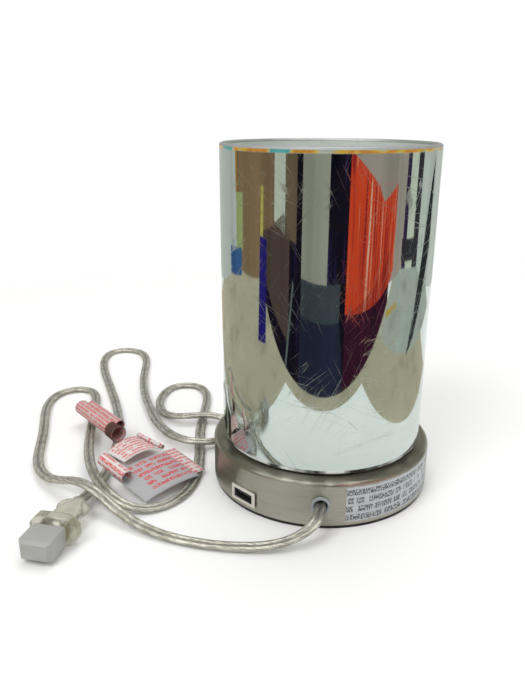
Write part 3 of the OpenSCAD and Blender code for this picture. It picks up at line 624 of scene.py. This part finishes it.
# %% Sections of the plug
PLUG_AT, PLUG_TURN = Vector(CORD_ROUTE[-1]), radians(-9)
plug_place = Matrix.Translation(PLUG_AT * MM) @ Matrix.Rotation(PLUG_TURN, 4, "Z")


def section(y, half_w, half_h, corner, crisp, count=48):
    """A loop of points round a box with cut corners; a high crisp gives sharp corners, a low one an oval."""
    loop = []
    for k in range(count):
        c, s = cos(tau * (k + 0.5) / count), sin(tau * (k + 0.5) / count)
        sides = (abs(c) / half_w, abs(s) / half_h, (abs(c) + abs(s)) / (half_w + half_h - corner))
        reach = sum(q ** crisp for q in sides) ** (-1 / crisp)
        loop.append(Vector((reach * c, y, reach * s)) * MM)
    return loop


def placed(bm, matrix):
    """Moves a bmesh to its place, and points its faces outwards."""
    bmesh.ops.transform(bm, matrix=matrix, verts=bm.verts)
    bmesh.ops.recalc_face_normals(bm, faces=bm.faces)
    return bm


print("plug at", [round(c, 3) for c in plug_place.translation])

# %% Plug body
GRIP_L, FLANGE_T, FLANGE_W, FLANGE_H, FLANGE_CUT, FLANGE_EDGE = 22.0, 5.0, 25.0, 15.0, 4.5, 0.4
PLUG_FACE = -GRIP_L - FLANGE_T
NUB_END, NUB_HALF, NUB_FLARE = -3, 3.8, 0.25
EAR_X, EAR_Y, EAR_R = 5.5, -7, 4
WAIST_HALF, WAIST_END, WAIST_FLARE = 7.5, -15.4, 1.5
GRIP_LOW, GRIP_RISE, GRIP_EASE, GRIP_CUT = 2.7, 2.6, 0.3, 0.8
EAR_END = EAR_Y - sqrt(EAR_R ** 2 - (WAIST_HALF - EAR_X) ** 2)
SOFT, CRISP = 4, 40
STATIONS = [0, -1, -2, -2.8, -3.05, -3.5, -4.2, -5.2, -6.3, -7.5, -8.7, -9.6, -10.4, -12, -15.4, -18, -20,
            -21.5]


def grip_half_width(y):
    """Half of the grip's width at a distance y from the cord: a nub, the finger ears and the waist."""
    if y > NUB_END:
        return NUB_HALF - y * NUB_FLARE
    if y > EAR_END:
        return EAR_X + sqrt(max(0.0, EAR_R ** 2 - (y - EAR_Y) ** 2))
    if y > WAIST_END:
        return WAIST_HALF
    return WAIST_HALF + WAIST_FLARE * (WAIST_END - y) / (GRIP_L + WAIST_END)


def grip_half_height(y):
    """Half of the grip's height, which grows towards the flange."""
    t = min(1.0, -y / GRIP_L)
    return GRIP_LOW + GRIP_RISE * t - GRIP_EASE * t * t


plug_bm = bmesh.new()
loops = [section(y=0.3, half_w=3.2, half_h=2.2, corner=0.5, crisp=3)]
loops += [section(y, grip_half_width(y), grip_half_height(y), GRIP_CUT, SOFT) for y in STATIONS]
for back, inset in ((0, FLANGE_EDGE), (FLANGE_EDGE, 0), (FLANGE_T - FLANGE_EDGE, 0), (FLANGE_T, FLANGE_EDGE)):
    loops.append(section(-GRIP_L - back, FLANGE_W / 2 - inset, FLANGE_H / 2 - inset, FLANGE_CUT, CRISP))
lofted(plug_bm, loops)
clear_plastic("clear_plug", (0.76, 0.755, 0.65), 0.74, 0.20)
plug_body = piece("plug_moulding", placed(plug_bm, plug_place), ["clear_plug"], sharp=28)
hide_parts("plug_body")

# %% [markdown]
# Through the clear moulding the metal can be seen: each blade goes on inside the flange and ends in a
# barrel that is crimped on its wire. The inside of clear plastic could be faked with a darker patch, but it
# would not shift as the view turns, so these are real pieces.

# %% Crimped contacts
BLADE_X, BLADE_T, BLADE_WIDTHS, BLADE_ENDS = 6.35, 1.5, ((-1, 6.3), (1, 7.9)), (-26.9, -22)
NECK, BARREL, BARREL_ENDS, BRASS_END = (-20, 0.8, 1.4), 1.2, (-19, -13), -21
CORE_BEND = ((6.35, -14), (5.5, -10), (3.0, -5), (1.5, 0))
CRIMP_SIDES, CRIMP_CUT, SQUARED, ROUND = 24, 0.1, 12, 2


def crimp_loop(x, y, half_w, half_h, crisp):
    return [p + Vector((x * MM, 0, 0)) for p in section(y, half_w, half_h, CRIMP_CUT, crisp, CRIMP_SIDES)]


crimp_bm = bmesh.new()
for side, blade_w in BLADE_WIDTHS:
    steps = [(y, BLADE_T / 2, blade_w / 2) for y in BLADE_ENDS] + [NECK]
    steps += [(y, BARREL, BARREL) for y in BARREL_ENDS]
    lofted(crimp_bm, [crimp_loop(side * BLADE_X, *step, SQUARED) for step in steps])
    lofted(crimp_bm, [crimp_loop(side * bend, y, CORE_R, CORE_R, ROUND) for bend, y in CORE_BEND])
for face in crimp_bm.faces:
    face.material_index = int(face.calc_center_median().y > BRASS_END * MM)
plug_crimps = piece("plug_crimps", placed(crimp_bm, plug_place), ["dull_brass", "tinned_copper"])

# %% [markdown]
# ## The blade cap
# A milky cap is pushed over the blades for shipping. It is a thin box with a bevelled nose, open towards
# the plug. Two boxes and a Boolean could make it, but loops keep its mesh clean: they run from the bottom
# of the pocket out over the mouth and along the outside to the nose. A bevel then breaks the outer edges,
# and keeps the faces between them flat.

# %% Blade cap
CAP_GAP, CAP_W, CAP_H, CAP_L, CAP_ROUND = 2.5, 16.3, 10.0, 15.3, 0.35
NOSE_L, NOSE_SIDE, NOSE_TOP = 2.3, 1.65, 1.0
POCKET_W, POCKET_H, POCKET_L, POCKET_ROUND, POCKET_END, MOUTH_DROP = 14.7, 8.4, 14.2, 0.4, 0.6, 0.1
CAP_Y = PLUG_FACE - CAP_GAP


def box_loop(y, width, height):
    return [Vector((x * width / 2, y, z * height / 2)) * MM for x, z in ((1, 1), (-1, 1), (-1, -1), (1, -1))]


pocket = [(POCKET_L, POCKET_W - POCKET_ROUND, POCKET_H - POCKET_ROUND),
          (POCKET_L - POCKET_END, POCKET_W, POCKET_H), (MOUTH_DROP, POCKET_W, POCKET_H)]
skin = [(0, CAP_W, CAP_H), (CAP_L - NOSE_L, CAP_W, CAP_H),
        (CAP_L, CAP_W - 2 * NOSE_SIDE, CAP_H - 2 * NOSE_TOP)]
cap_bm = bmesh.new()
cap_loops = lofted(cap_bm, [box_loop(CAP_Y - depth, width, height) for depth, width, height in pocket + skin])
outside = {corner for loop in cap_loops[len(pocket):] for corner in loop}
rims = [e for e in cap_bm.edges if all(v in outside for v in e.verts)]
bmesh.ops.bevel(cap_bm, geom=rims, offset=CAP_ROUND * MM, segments=3, profile=0.5, affect="EDGES",
                material=-1)
grained("milky_cap", (0.35, 0.352, 0.333), 0.34, grain=700, mottle=0.03, depth=0.005,
        Subsurface_Weight=0.35, Subsurface_Radius=(0.002, 0.002, 0.002))
plug_cap = piece("blade_cap_shell", placed(cap_bm, plug_place), ["milky_cap"], body="blade_cap", sharp=20)
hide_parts("plug_cap")

# %% [markdown]
# ## The paper tags
# Three slips of paper hang on the lead. One is rolled up, one fans out from the end of the roll, and one
# lies folded with its grey back up. Cloth simulation would crease such small slips at random, so each is a
# flat grid that a formula rolls or bows, and a Solidify modifier gives the paper its thickness. The print
# is only rows of broken red bars, read from the UV map, and it spells nothing.

# %% Tag print
ROW_SHIFT, STROKES_ALONG, STROKES_UP = 7.3, 6.5, 3.4
TAG_BAR, RED_INK = 0.62, (0.62, 0.035, 0.04)
FIBRE_SCALE, FIBRE_DIMS, FIBRE_STRENGTH, FIBRE_DEPTH = 900, 0.93, 0.25, 0.05


def broken_bars(tree, thickness):
    """Rows of broken bars, one row to each unit of the UV map's height, and none where the map is below 0."""
    along, line = uv_parts(tree)
    in_row = math_node("COMPARE", math_node("FRACT", line), 0.5)
    in_row.node.inputs[2].default_value = thickness / 2
    on_page = times(math_node("GREATER_THAN", along, 0), math_node("GREATER_THAN", line, 0))
    rows = joined(tree, X=along, Y=times(math_node("FLOOR", line), ROW_SHIFT))
    bar = ramp(noise(rows, 1.0, detail=0), [(0.36, 0.0), (0.38, 1.0)])
    fine = joined(tree, X=times(along, STROKES_ALONG), Y=times(line, STROKES_UP))
    stroke = ramp(noise(fine, 1.0, detail=0), [(0.42, 0.0), (0.50, 1.0)])
    return times(times(in_row, times(bar, stroke)), on_page)


def printed_paper(name, colour):
    tree, shader = new_finish(name, colour, 0.7)
    fibre = noise(object_coords(tree), FIBRE_SCALE, detail=4)
    blank = ramp(fibre, [(0.3, tuple(c * FIBRE_DIMS for c in colour)), (0.7, colour)])
    feed(shader, Base_Color=mixed(broken_bars(tree, TAG_BAR), blank, RED_INK))
    bumped(shader, fibre, FIBRE_STRENGTH, FIBRE_DEPTH * MM)


TAG_PAPERS = ("white_tag", "grey_tag", "roll_shade_band", "pink_shaded_tag")
WHITE, GREY_BACK, ROLL_SHADE, PINK_SHADED = range(len(TAG_PAPERS))
printed_paper("white_tag", (0.68, 0.64, 0.62))
# The roll's paper: pink where the print shows through it, and darker than the white slips as painted shade on
# the roll.
printed_paper("pink_shaded_tag", (0.52, 0.455, 0.435))
printed_paper("grey_tag", (0.40, 0.40, 0.41))
# The roll's end band is painted shade: a near-black brown for the shaded inside where the roll opens.
grained("roll_shade_band", (0.075, 0.025, 0.018), 0.7, mottle=0.3)
print("tag papers:", ", ".join(TAG_PAPERS))

# %% Tag helpers
PAPER_T = 0.18


def paper(bm, shape, columns, rows, kind, bars, lines, margin=0.0):
    """Adds a grid bent by shape(u, v), which gives millimetres. kind is its material's number, and its UV map
    holds that many bars and lines of print, inside a margin that is a share of the slip."""
    layer = bm.loops.layers.uv.verify()
    made = bmesh.ops.create_grid(bm, x_segments=columns, y_segments=rows, size=0.5)
    for face in {f for v in made["verts"] for f in v.link_faces}:
        face.material_index = kind
        for corner in face.loops:
            u, v = corner.vert.co.x + 0.5, corner.vert.co.y + 0.5
            corner[layer].uv = ((u - margin) * bars, (v - margin / 2) * lines)
    for corner in made["verts"]:
        corner.co = shape(corner.co.x + 0.5, corner.co.y + 0.5) * MM


def paper_piece(name, bm, place, node):
    made = piece(name, placed(bm, place), TAG_PAPERS, sharp=60)
    thick = made.modifiers.new("thickness", "SOLIDIFY")
    thick.thickness = PAPER_T * MM
    thick.offset = 0
    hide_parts(node)
    return made


def lying(at, turn, tilt=0.0):
    """A place on the table: a point in millimetres, a turn round Z and a tilt round its own X, in degrees."""
    return (Matrix.Translation(Vector(at) * MM) @ Matrix.Rotation(radians(turn), 4, "Z")
            @ Matrix.Rotation(radians(tilt), 4, "X"))


print("paper", PAPER_T, "mm thick")

# %% Rolled tag
ROLL_L, ROLL_R, ROLL_TURNS, ROLL_START, ROLL_TIGHTENS = 51.0, 5.0, 1.35, 0.30, 0.75
RIPPLE, RIPPLES = 0.12, 9
END_R, END_SHARE = 5.05, 0.16
FOLD_L, FOLD_BACK, FOLD_R, FOLD_FLARE, FOLD_AT = 0.78, 0.36, 2.6, 0.4, (3.6, 3.4)
FOLD_SWEEP, FOLD_START = 1.35, 0.25


def rolled(u, v):
    """A slip wound into a roll that tightens inwards."""
    angle = tau * (ROLL_TURNS * v - ROLL_START)
    radius = ROLL_R - ROLL_TIGHTENS * v - RIPPLE * sin(RIPPLES * u)
    return Vector(((u - 0.5) * ROLL_L, radius * cos(angle), radius * sin(angle)))


def roll_end(u, v):
    """A dark band round the end of the roll, painted shade for the dark inside where the roll opens."""
    angle = tau * v
    return Vector(((0.5 - END_SHARE * (1 - u)) * ROLL_L, END_R * cos(angle), END_R * sin(angle)))


def roll_fold(u, v):
    """A loose fold that lies along the roll."""
    angle = pi * (FOLD_SWEEP * v - FOLD_START)
    radius = FOLD_R + FOLD_FLARE * u
    return Vector(((u * FOLD_L - FOLD_BACK) * ROLL_L, FOLD_AT[0] + radius * cos(angle),
                   FOLD_AT[1] + radius * sin(angle)))


roll_bm = bmesh.new()
# The roll's paper is darker in part as painted shade.
paper(roll_bm, rolled, 28, 40, PINK_SHADED, bars=16, lines=17)
# The end band is painted shade for the inside of the roll.
paper(roll_bm, roll_end, 3, 32, ROLL_SHADE, bars=1, lines=1)
paper(roll_bm, roll_fold, 24, 14, PINK_SHADED, bars=14, lines=6)
tag_roll = paper_piece("rolled_tag", roll_bm, lying((-139, 33, 11), -47), "tag_roll")

# %% Fan tag and flag tag
FAN_L, FAN_W, FAN_BOW, FAN_SLANT, FAN_LIP_R, FAN_LIP_TURN = 26, 24, 3, 0.25, 1.3, 0.8
FLAG_L, FLAG_W, FLAG_BOW = 38, 30, 2
UNDER_L, UNDER_W, UNDER_BOW, UNDER_AT = 34, 28, 1.5, Vector((9, 2, -0.9))
CURL_L, CURL_R, CURL_AT, CURL_SWEEP, CURL_START = 22, 3.6, Vector((-17, 4, 4.2)), 1.5, 0.3


def bowed(length, width, bow, slant=0.0):
    """A slip bowed along its length; slant narrows its start."""
    def shape(u, v):
        across = (v - 0.5) * width * (1 - slant * (1 - u))
        return Vector(((u - 0.5) * length, across, bow * (1 - (2 * u - 1) ** 2)))
    return shape


def fan_lip(u, v):
    """The fan's far edge, curled over."""
    angle = tau * FAN_LIP_TURN * u
    out, up = sin(angle), 1 - cos(angle)
    return Vector((FAN_L / 2 + FAN_LIP_R * out, (v - 0.5) * FAN_W, FAN_LIP_R * up))


def under_slip(u, v):
    """A second slip under the flag."""
    return bowed(UNDER_L, UNDER_W, UNDER_BOW)(u, v) + UNDER_AT


def flag_curl(u, v):
    """A slip curled up on the flag's near end."""
    angle = pi * (CURL_SWEEP * v - CURL_START)
    return CURL_AT + Vector((CURL_R * cos(angle), CURL_L * u, CURL_R * sin(angle)))


fan_bm = bmesh.new()
paper(fan_bm, bowed(FAN_L, FAN_W, FAN_BOW, FAN_SLANT), 20, 12, WHITE, bars=8, lines=7, margin=0.08)
paper(fan_bm, fan_lip, 10, 10, WHITE, bars=2, lines=7)
tag_fan = paper_piece("fan_tag", fan_bm, lying((-111, 7, 4.5), 51), "tag_fan")

flag_bm = bmesh.new()
paper(flag_bm, bowed(FLAG_L, FLAG_W, FLAG_BOW), 22, 12, GREY_BACK, bars=8, lines=7, margin=0.24)
paper(flag_bm, under_slip, 22, 12, WHITE, bars=12, lines=9)
paper(flag_bm, flag_curl, 16, 14, WHITE, bars=8, lines=5)
tag_flag = paper_piece("flag_tag", flag_bm, lying((-90, -24, 5.8), 51, 8), "tag_flag")

# %% [markdown]
# ## Details on the base
# A grey grommet guards the cord's hole. It has a sleeve in the wall and a rounded flange outside, so a
# torus alone would not do. Its outline is turned as the glass is, and the result is tipped to face the
# cord's side.

# %% Grommet
GROMMET_AT = Vector((0, -60, 13.5))
BORE_R, SLEEVE_R, SLEEVE_L, COLLAR_R, COLLAR_Z = 3.4, 4.0, 2.4, 5.0, 0.1
BEAD_R, BEAD_OUT, BEAD_IN, BEAD_Z = 0.6, 4.4, 4.0, 0.75
grommet_outline = [(BORE_R, -SLEEVE_L), (SLEEVE_R, -SLEEVE_L), (SLEEVE_R, COLLAR_Z), (COLLAR_R, COLLAR_Z)]
grommet_outline += arc_points((BEAD_OUT, BEAD_Z), BEAD_R, 0, 90, 6)
grommet_outline += arc_points((BEAD_IN, BEAD_Z), BEAD_R, 90, 180, 6)
facing = Matrix.Translation(GROMMET_AT * MM) @ Matrix.Rotation(radians(90), 4, "X")
grommet = piece("cord_bush", placed(turned(grommet_outline, 64), facing), ["grey_moulding"])
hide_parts("cord_grommet")

# %% [markdown]
# A cream frame surrounds the charging port. A Boolean could cut the slot out of a block, but four loops
# bridged into a ring give the same frame with clean edges, and a bevel then softens its front.

# %% Port frame
PORT_TURN, PORT_Z = radians(-41), 8.6
SLOT_W, SLOT_H, FRAME_W, FRAME_H, FRAME_SIDE, FRAME_ROUND = 13.25, 5.85, 16.6, 8.2, 8, 0.28
SLOT_BACK, FRAME_FRONT, FRAME_SHOULDER, FRAME_MIDDLE, FRAME_BACK = -57, -61, -60.9, -60.5, -60
port_place = Matrix.Rotation(PORT_TURN, 4, "Z") @ Matrix.Translation(Vector((0, 0, PORT_Z)) * MM)


def at_front(edge):
    return all(v.co.y < FRAME_MIDDLE * MM for v in edge.verts)


def at_side(edge):
    """True for an edge of the frame's outer sides that has a face on both sides of it."""
    a, b = edge.verts
    return len(edge.link_faces) == 2 and a.co.x == b.co.x and abs(a.co.x) > FRAME_SIDE * MM


frame_bm = bmesh.new()
slot_loops = [box_loop(y, SLOT_W, SLOT_H) for y in (SLOT_BACK, FRAME_FRONT)]
frame_loops = [box_loop(y, FRAME_W, FRAME_H) for y in (FRAME_SHOULDER, FRAME_BACK)]
lofted(frame_bm, slot_loops + frame_loops, closed=False)
soft = [e for e in frame_bm.edges if at_front(e) or at_side(e)]
bmesh.ops.bevel(frame_bm, geom=soft, offset=FRAME_ROUND * MM, segments=4, profile=0.5, affect="EDGES",
                material=-1)
port_frame = piece("port_frame", placed(frame_bm, port_place), ["cream_frame"])
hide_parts("usb_bezel")

# %% [markdown]
# A strip of foil is stuck round the side. It could be painted on the base by its material, but real foil
# has an edge, so it is a piece: an upright line spun a quarter of the way round. Its print is made as the
# tags' is.

# %% Foil strip
FOIL_R, FOIL_LOW, FOIL_HIGH, FOIL_START, FOIL_SWEEP, FOIL_STEPS = 60.04, 3.8, 23.3, 12.0, 92.0, 60
FOIL_BARS, FOIL_LINES, FOIL_BAR, DARK_INK = 30, 4.2, 0.70, (0.10, 0.105, 0.11)
SHEEN_SCALE, FOIL_SHEEN = 400, [(0.3, (0.40, 0.42, 0.44)), (0.7, (0.49, 0.51, 0.53))]


def foil():
    tree, shader = new_finish("foil_strip", (0.60, 0.62, 0.65), 0.36, 0.35)
    bare = ramp(noise(object_coords(tree), SHEEN_SCALE), FOIL_SHEEN)
    feed(shader, Base_Color=mixed(broken_bars(tree, FOIL_BAR), bare, DARK_INK))


foil()
foil_bm = bmesh.new()
start = radians(FOIL_START)
foot = Vector((FOIL_R * sin(start), -FOIL_R * cos(start), 0))
ends = [foil_bm.verts.new((foot + Vector((0, 0, z))) * MM) for z in (FOIL_LOW, FOIL_HIGH)]
bmesh.ops.spin(foil_bm, geom=ends + [foil_bm.edges.new(ends)], axis=(0, 0, 1), cent=(0, 0, 0),
               angle=radians(FOIL_SWEEP), steps=FOIL_STEPS)
foil_uv = foil_bm.loops.layers.uv.verify()
for face in foil_bm.faces:
    for corner in face.loops:
        x, y, z = corner.vert.co
        angle = degrees(atan2(x, -y))
        corner[foil_uv].uv = ((angle - FOIL_START) / FOIL_SWEEP * FOIL_BARS,
                              (z / MM - FOIL_LOW) / (FOIL_HIGH - FOIL_LOW) * FOIL_LINES)
bmesh.ops.recalc_face_normals(foil_bm, faces=foil_bm.faces)
piece("foil_strip", foil_bm, ["foil_strip"])

# %% [markdown]
# ## The floor and the light
# The lamp stands on a plain pale floor under soft light. More light would bleach the floor to white and the
# lamp with it. Instead the floor fades into a white glow away from the lamp, and near it the floor keeps
# the shadow.

# %% Floor and world
FLOOR_HALF, FADE_START, FADE_END, SKY_LIGHT = 6.0, 0.30, 0.62, 0.55


def seen_rays(tree):
    """1 for rays from the camera, and for those that a mirror or clear plastic sends on; 0 for the rest."""
    path = add(tree, "LightPath").outputs
    seen = math_node("MAXIMUM", path["Is Camera Ray"], path["Is Glossy Ray"])
    return math_node("MAXIMUM", seen, path["Is Transmission Ray"])


def pale_floor():
    tree, shader = new_finish("pale_floor", (0.90, 0.90, 0.89), 0.9)
    far = ramp(distance(object_coords(tree)), [(FADE_START, 0.0), (FADE_END, 1.0)])
    glow = add(tree, "Emission", in_Strength=1.0)
    blend = add(tree, "MixShader")
    tree.links.new(times(far, seen_rays(tree)), blend.inputs[0])
    tree.links.new(shader.outputs[0], blend.inputs[1])
    tree.links.new(glow.outputs[0], blend.inputs[2])
    feed(tree.nodes["Material Output"], Surface=blend.outputs[0])


pale_floor()
floor_bm = bmesh.new()
bmesh.ops.create_grid(floor_bm, x_segments=2, y_segments=2, size=FLOOR_HALF)
floor = into_scene("floor", mesh_from("floor", floor_bm))
floor.data.materials.append(finish["pale_floor"])

world = bpy.data.worlds.new("studio")
bpy.context.scene.world = world
world.use_nodes = True
sky = world.node_tree
background = sky.nodes["Background"]
background.inputs["Color"].default_value = (1, 1, 1, 1)
feed(background, Strength=plus(times(seen_rays(sky), 1 - SKY_LIGHT), SKY_LIGHT))
bpy.context.scene.view_settings.view_transform = "Standard"
print("floor", 2 * FLOOR_HALF, "m wide")

# %% Lamps
LIT_POINT = Vector((0, 0, 0.08))


def soft_lamp(name, at, size, watts):
    data = bpy.data.lights.new(name, "AREA")
    data.shape = "DISK"
    data.size = size
    data.energy = watts
    made = into_scene(name, data)
    made.location = at
    made.rotation_euler = (LIT_POINT - Vector(at)).to_track_quat("-Z", "Y").to_euler()


soft_lamp("key_light", (-0.55, -0.75, 1.15), size=0.8, watts=9.0)
soft_lamp("fill_light", (0.95, -0.35, 0.9), size=0.9, watts=4.0)
soft_lamp("top_light", (0.1, 0.5, 1.3), size=1.0, watts=6.0)

# %% [markdown]
# ## Boards for the mirror
# A mirror shows whatever is round it, and an empty studio would leave it white. Painting the colours on the
# glass would fix them there, and they would not slide as the view turns. So plain coloured boards stand
# round the lamp: only mirror rays meet them, and they cast no shadow.

# %% Board helpers
BOARD_TOP, FRONT, FLAT, WALL_REACH = 200, -213, 0.3, 635
SLATS, CLOUDS, UPRIGHT, SHADED, LIT = 70, 9, 0.10, 0.80, 1.10
boards = []


def board(name, colour, corners, slats=None, strength=1.0):
    """A flat board through its corners, in millimetres; slats are two more colours in fine stripes."""
    bm = bmesh.new()
    bmesh.ops.edgeloop_fill(bm, edges=ring(bm, [Vector(c) * MM for c in corners])[1])
    tree = new_finish(name, colour, 1.0)[0]
    streaks = noise(object_coords(tree, (1, 1, UPRIGHT)), SLATS if slats else CLOUDS)
    low, high = slats or (tuple(c * SHADED for c in colour), tuple(c * LIT for c in colour))
    glow = add(tree, "Emission", in_Strength=strength)
    feed(glow, Color=ramp(streaks, [(0.36, low), (0.47, colour), (0.58, colour), (0.66, high)]))
    feed(tree.nodes["Material Output"], Surface=glow.outputs[0])
    card = into_scene(name, mesh_from(name, bm))
    card.data.materials.append(finish[name])
    card.visible_camera = card.visible_diffuse = card.visible_shadow = card.visible_transmission = False
    boards.append(card)


def wall_board(name, colour, start, end, reach=WALL_REACH, low=0, high=BOARD_TOP, strength=1.0):
    """An upright board between two directions, in degrees from the cord's side."""
    ends = [(reach * sin(radians(a)), -reach * cos(radians(a))) for a in (start, end)]
    (x0, y0), (x1, y1) = ends
    board(name, colour, [(x0, y0, low), (x1, y1, low), (x1, y1, high), (x0, y0, high)], strength=strength)


def front_shape(name, colour, outline, slats=None, line=FRONT):
    """An upright board on the front line, with an outline of places along it and heights."""
    board(name, colour, [(x, line, z) for x, z in outline], slats)


def front_board(name, colour, left, right, low, high, slats=None):
    """An upright rectangle on the front line."""
    front_shape(name, colour, [(left, low), (right, low), (right, high), (left, high)], slats)


def floor_board(name, colour, left, right, near, far):
    """A board lying on the floor."""
    board(name, colour, [(left, near, FLAT), (right, near, FLAT), (right, far, FLAT), (left, far, FLAT)])


print("walls", WALL_REACH, "mm away")

# %% Boards on the floor and overhead
BEIGE, PALE, GREY = (0.56, 0.50, 0.37), (0.68, 0.71, 0.66), (0.50, 0.53, 0.48)
DIM, DIM_SIDES, DIM_TURN = (0.30, 0.29, 0.25), 6, 60
BRIGHT, WINDOW_TURNS, WINDOW_HALF = (0.9, 0.9, 0.88), (-78, -44, -16, 14, 40), 3
floor_board("beige_left", BEIGE, -640, -140, -190, 400)
floor_board("beige_right", BEIGE, 143, 285, -206, 160)
floor_board("pale_right", GREY, 285, 800, -206, 300)
floor_board("beige_front", BEIGE, -900, 900, FRONT, -189)
# A near-black board on the floor beside the base, met only by mirror rays: painted shade that darkens the
# reflections on the base's left side.
floor_board("shade_near_base", (0.045, 0.040, 0.027), -122, -61, -36, 66)
for number in range(DIM_SIDES):
    wall_board(f"dim_{number}", DIM, DIM_TURN * number, DIM_TURN * (number + 1), reach=700, low=BOARD_TOP,
               high=1400)
for number, turn_to in enumerate(WINDOW_TURNS):
    wall_board(f"window_{number}", BRIGHT, turn_to - WINDOW_HALF, turn_to + WINDOW_HALF, reach=560,
               low=500, high=1000, strength=8.0)
print("boards so far:", len(boards))

# %% Boards at the sides
wall_board("grey_wall", (0.60, 0.61, 0.58), -180, -106)
wall_board("brown_wall", (0.29, 0.185, 0.105), -106, -50)
wall_board("rose_wall", (0.46, 0.38, 0.34), 12, 79)
wall_board("plum_wall", (0.05, 0.03, 0.08), 79, 84)
wall_board("white_wall", (0.72, 0.74, 0.62), 84, 94)
wall_board("iron_wall", (0.05, 0.045, 0.055), 94, 102)
wall_board("pale_wall", PALE, 102, 180)
wall_board("green_strip", (0.40, 0.48, 0.20), -106, -95, reach=585, low=28, high=102)
wall_board("amber_strip", (0.50, 0.22, 0.04), -107, -104, reach=585, low=102)
wall_board("sky_patch", (0.06, 0.14, 0.34), -117, -96, reach=480, low=20, high=52)
wall_board("shade_patch", (0.045, 0.04, 0.05), 76, 95, reach=630, low=12, high=42)
board("yellow_patch", (0.62, 0.40, 0.03), [(354, -196, 1), (382, -198, 1), (446, -130, 1), (430, -114, 1)])
board("blue_post", (0.03, 0.02, 0.20),
      [(-300, -110, 0.5), (-275, -155, 0.5), (-325, -183, 85), (-356, -138, 85)])
board("yellow_post", (0.62, 0.52, 0.12),
      [(-356, -140, 85), (-342, -158, 85), (-362, -168, 130), (-376, -150, 130)])
board("dark_post", (0.03, 0.035, 0.035),
      [(276, 4, 0.5), (316, 70, 0.5), (362, 260, 60), (356, 245, 168), (318, 150, 120)])
print("boards so far:", len(boards))

# %% Boards in front
INK, INK_STREAKS = (0.012, 0.009, 0.018), ((0.006, 0.005, 0.012), (0.030, 0.018, 0.085))
RED_SLATS = ((0.34, 0.020, 0.030), (0.92, 0.62, 0.46))
front_board("ink_low", INK, -430, -95, 0, 24, INK_STREAKS)
front_shape("wood_front", (0.105, 0.068, 0.058),
            [(-520, 24), (-150, 24), (-150, 112), (-190, 122), (-300, 98), (-520, 60)])
front_shape("edge_front", (0.15, 0.17, 0.17), [(-168, 0), (-158, 0), (-124, 74), (-130, 78)], line=FRONT + 1)
front_board("ink_left", INK, -150, -92, 24, 106, INK_STREAKS)
front_shape("blue_front", (0.026, 0.029, 0.060), [(-98, 0), (72, 0), (46, 56), (-92, 56)])
front_board("steel_front", (0.062, 0.076, 0.092), -92, 46, 56, 84)
front_board("maroon_front", (0.055, 0.012, 0.03), 66, 420, 0, 60, (INK, (0.11, 0.02, 0.05)))
front_board("white_front", (0.66, 0.67, 0.58), -275, -180, 106, BOARD_TOP)
front_board("tan_front", (0.19, 0.13, 0.085), -180, -116, 106, BOARD_TOP)
front_board("ink_stripe", INK, -116, -92, 106, BOARD_TOP)
front_board("grey_front", (0.42, 0.40, 0.33), -92, 0, 84, BOARD_TOP)
front_board("ink_column", INK, 0, 66, 84, BOARD_TOP, INK_STREAKS)
front_shape("ink_back", INK, [(-430, 0), (80, 0), (80, 100), (-300, 90), (-430, 60)], line=FRONT - 4)
front_shape("red_front", (0.80, 0.075, 0.025),
            [(66, 60), (420, 20), (900, 0), (900, 112), (270, 124), (72, 190), (66, 190)], RED_SLATS)
print("boards:", len(boards))

# %% [markdown]
# ## Finishing the CAD pieces
# Every piece that is right as it stands keeps its CAD mesh and only takes a finish. It could be modelled
# again, but nothing would be gained.

# %% CAD finishes
finished_nodes = {
    "foot_foam": ["foot_pad"],
    "gasket_rubber": ["shade_gasket"],
    "brushed_nickel": ["base_cover"],
    "zinc_plate": ["base_plate", "base_screws", "lock_washer", "usb_shell"],
    "cast_weight": ["base_weight"],
    "rolled_brass": ["threaded_nipple", "lock_nut", "touch_terminal", "screw_shell", "socket_contact",
                     "usb_contacts"],
    "dull_brass": ["plug_blades"],
    "ivory_phenolic": ["socket_shell", "shade_ring"],
    "fibre_sheet": ["ring_washer"],
    "white_moulding": ["cord_clamp", "bulb_collar"],
    "black_moulding": ["usb_tongue", "touch_dimmer", "bulb_insulator"],
    "drawn_aluminium": ["bulb_tip", "bulb_cap", "bulb_led_board"],
    "solder_mask": ["usb_board"],
    "foam_tape": ["board_tape"],
    "winding_tape": ["usb_transformer"],
    "shrink_sleeve": ["usb_capacitor"],
    "white_lead": ["supply_leads", "socket_leads"],
    "black_lead": ["touch_lead"],
    "red_lead": ["usb_leads"],
    "diffuser": ["bulb_globe"],
}
for kind, names in finished_nodes.items():
    for name in names:
        nodes[name].data.materials[0] = finish[kind]
print(sum(len(names) for names in finished_nodes.values()), "CAD nodes finished")
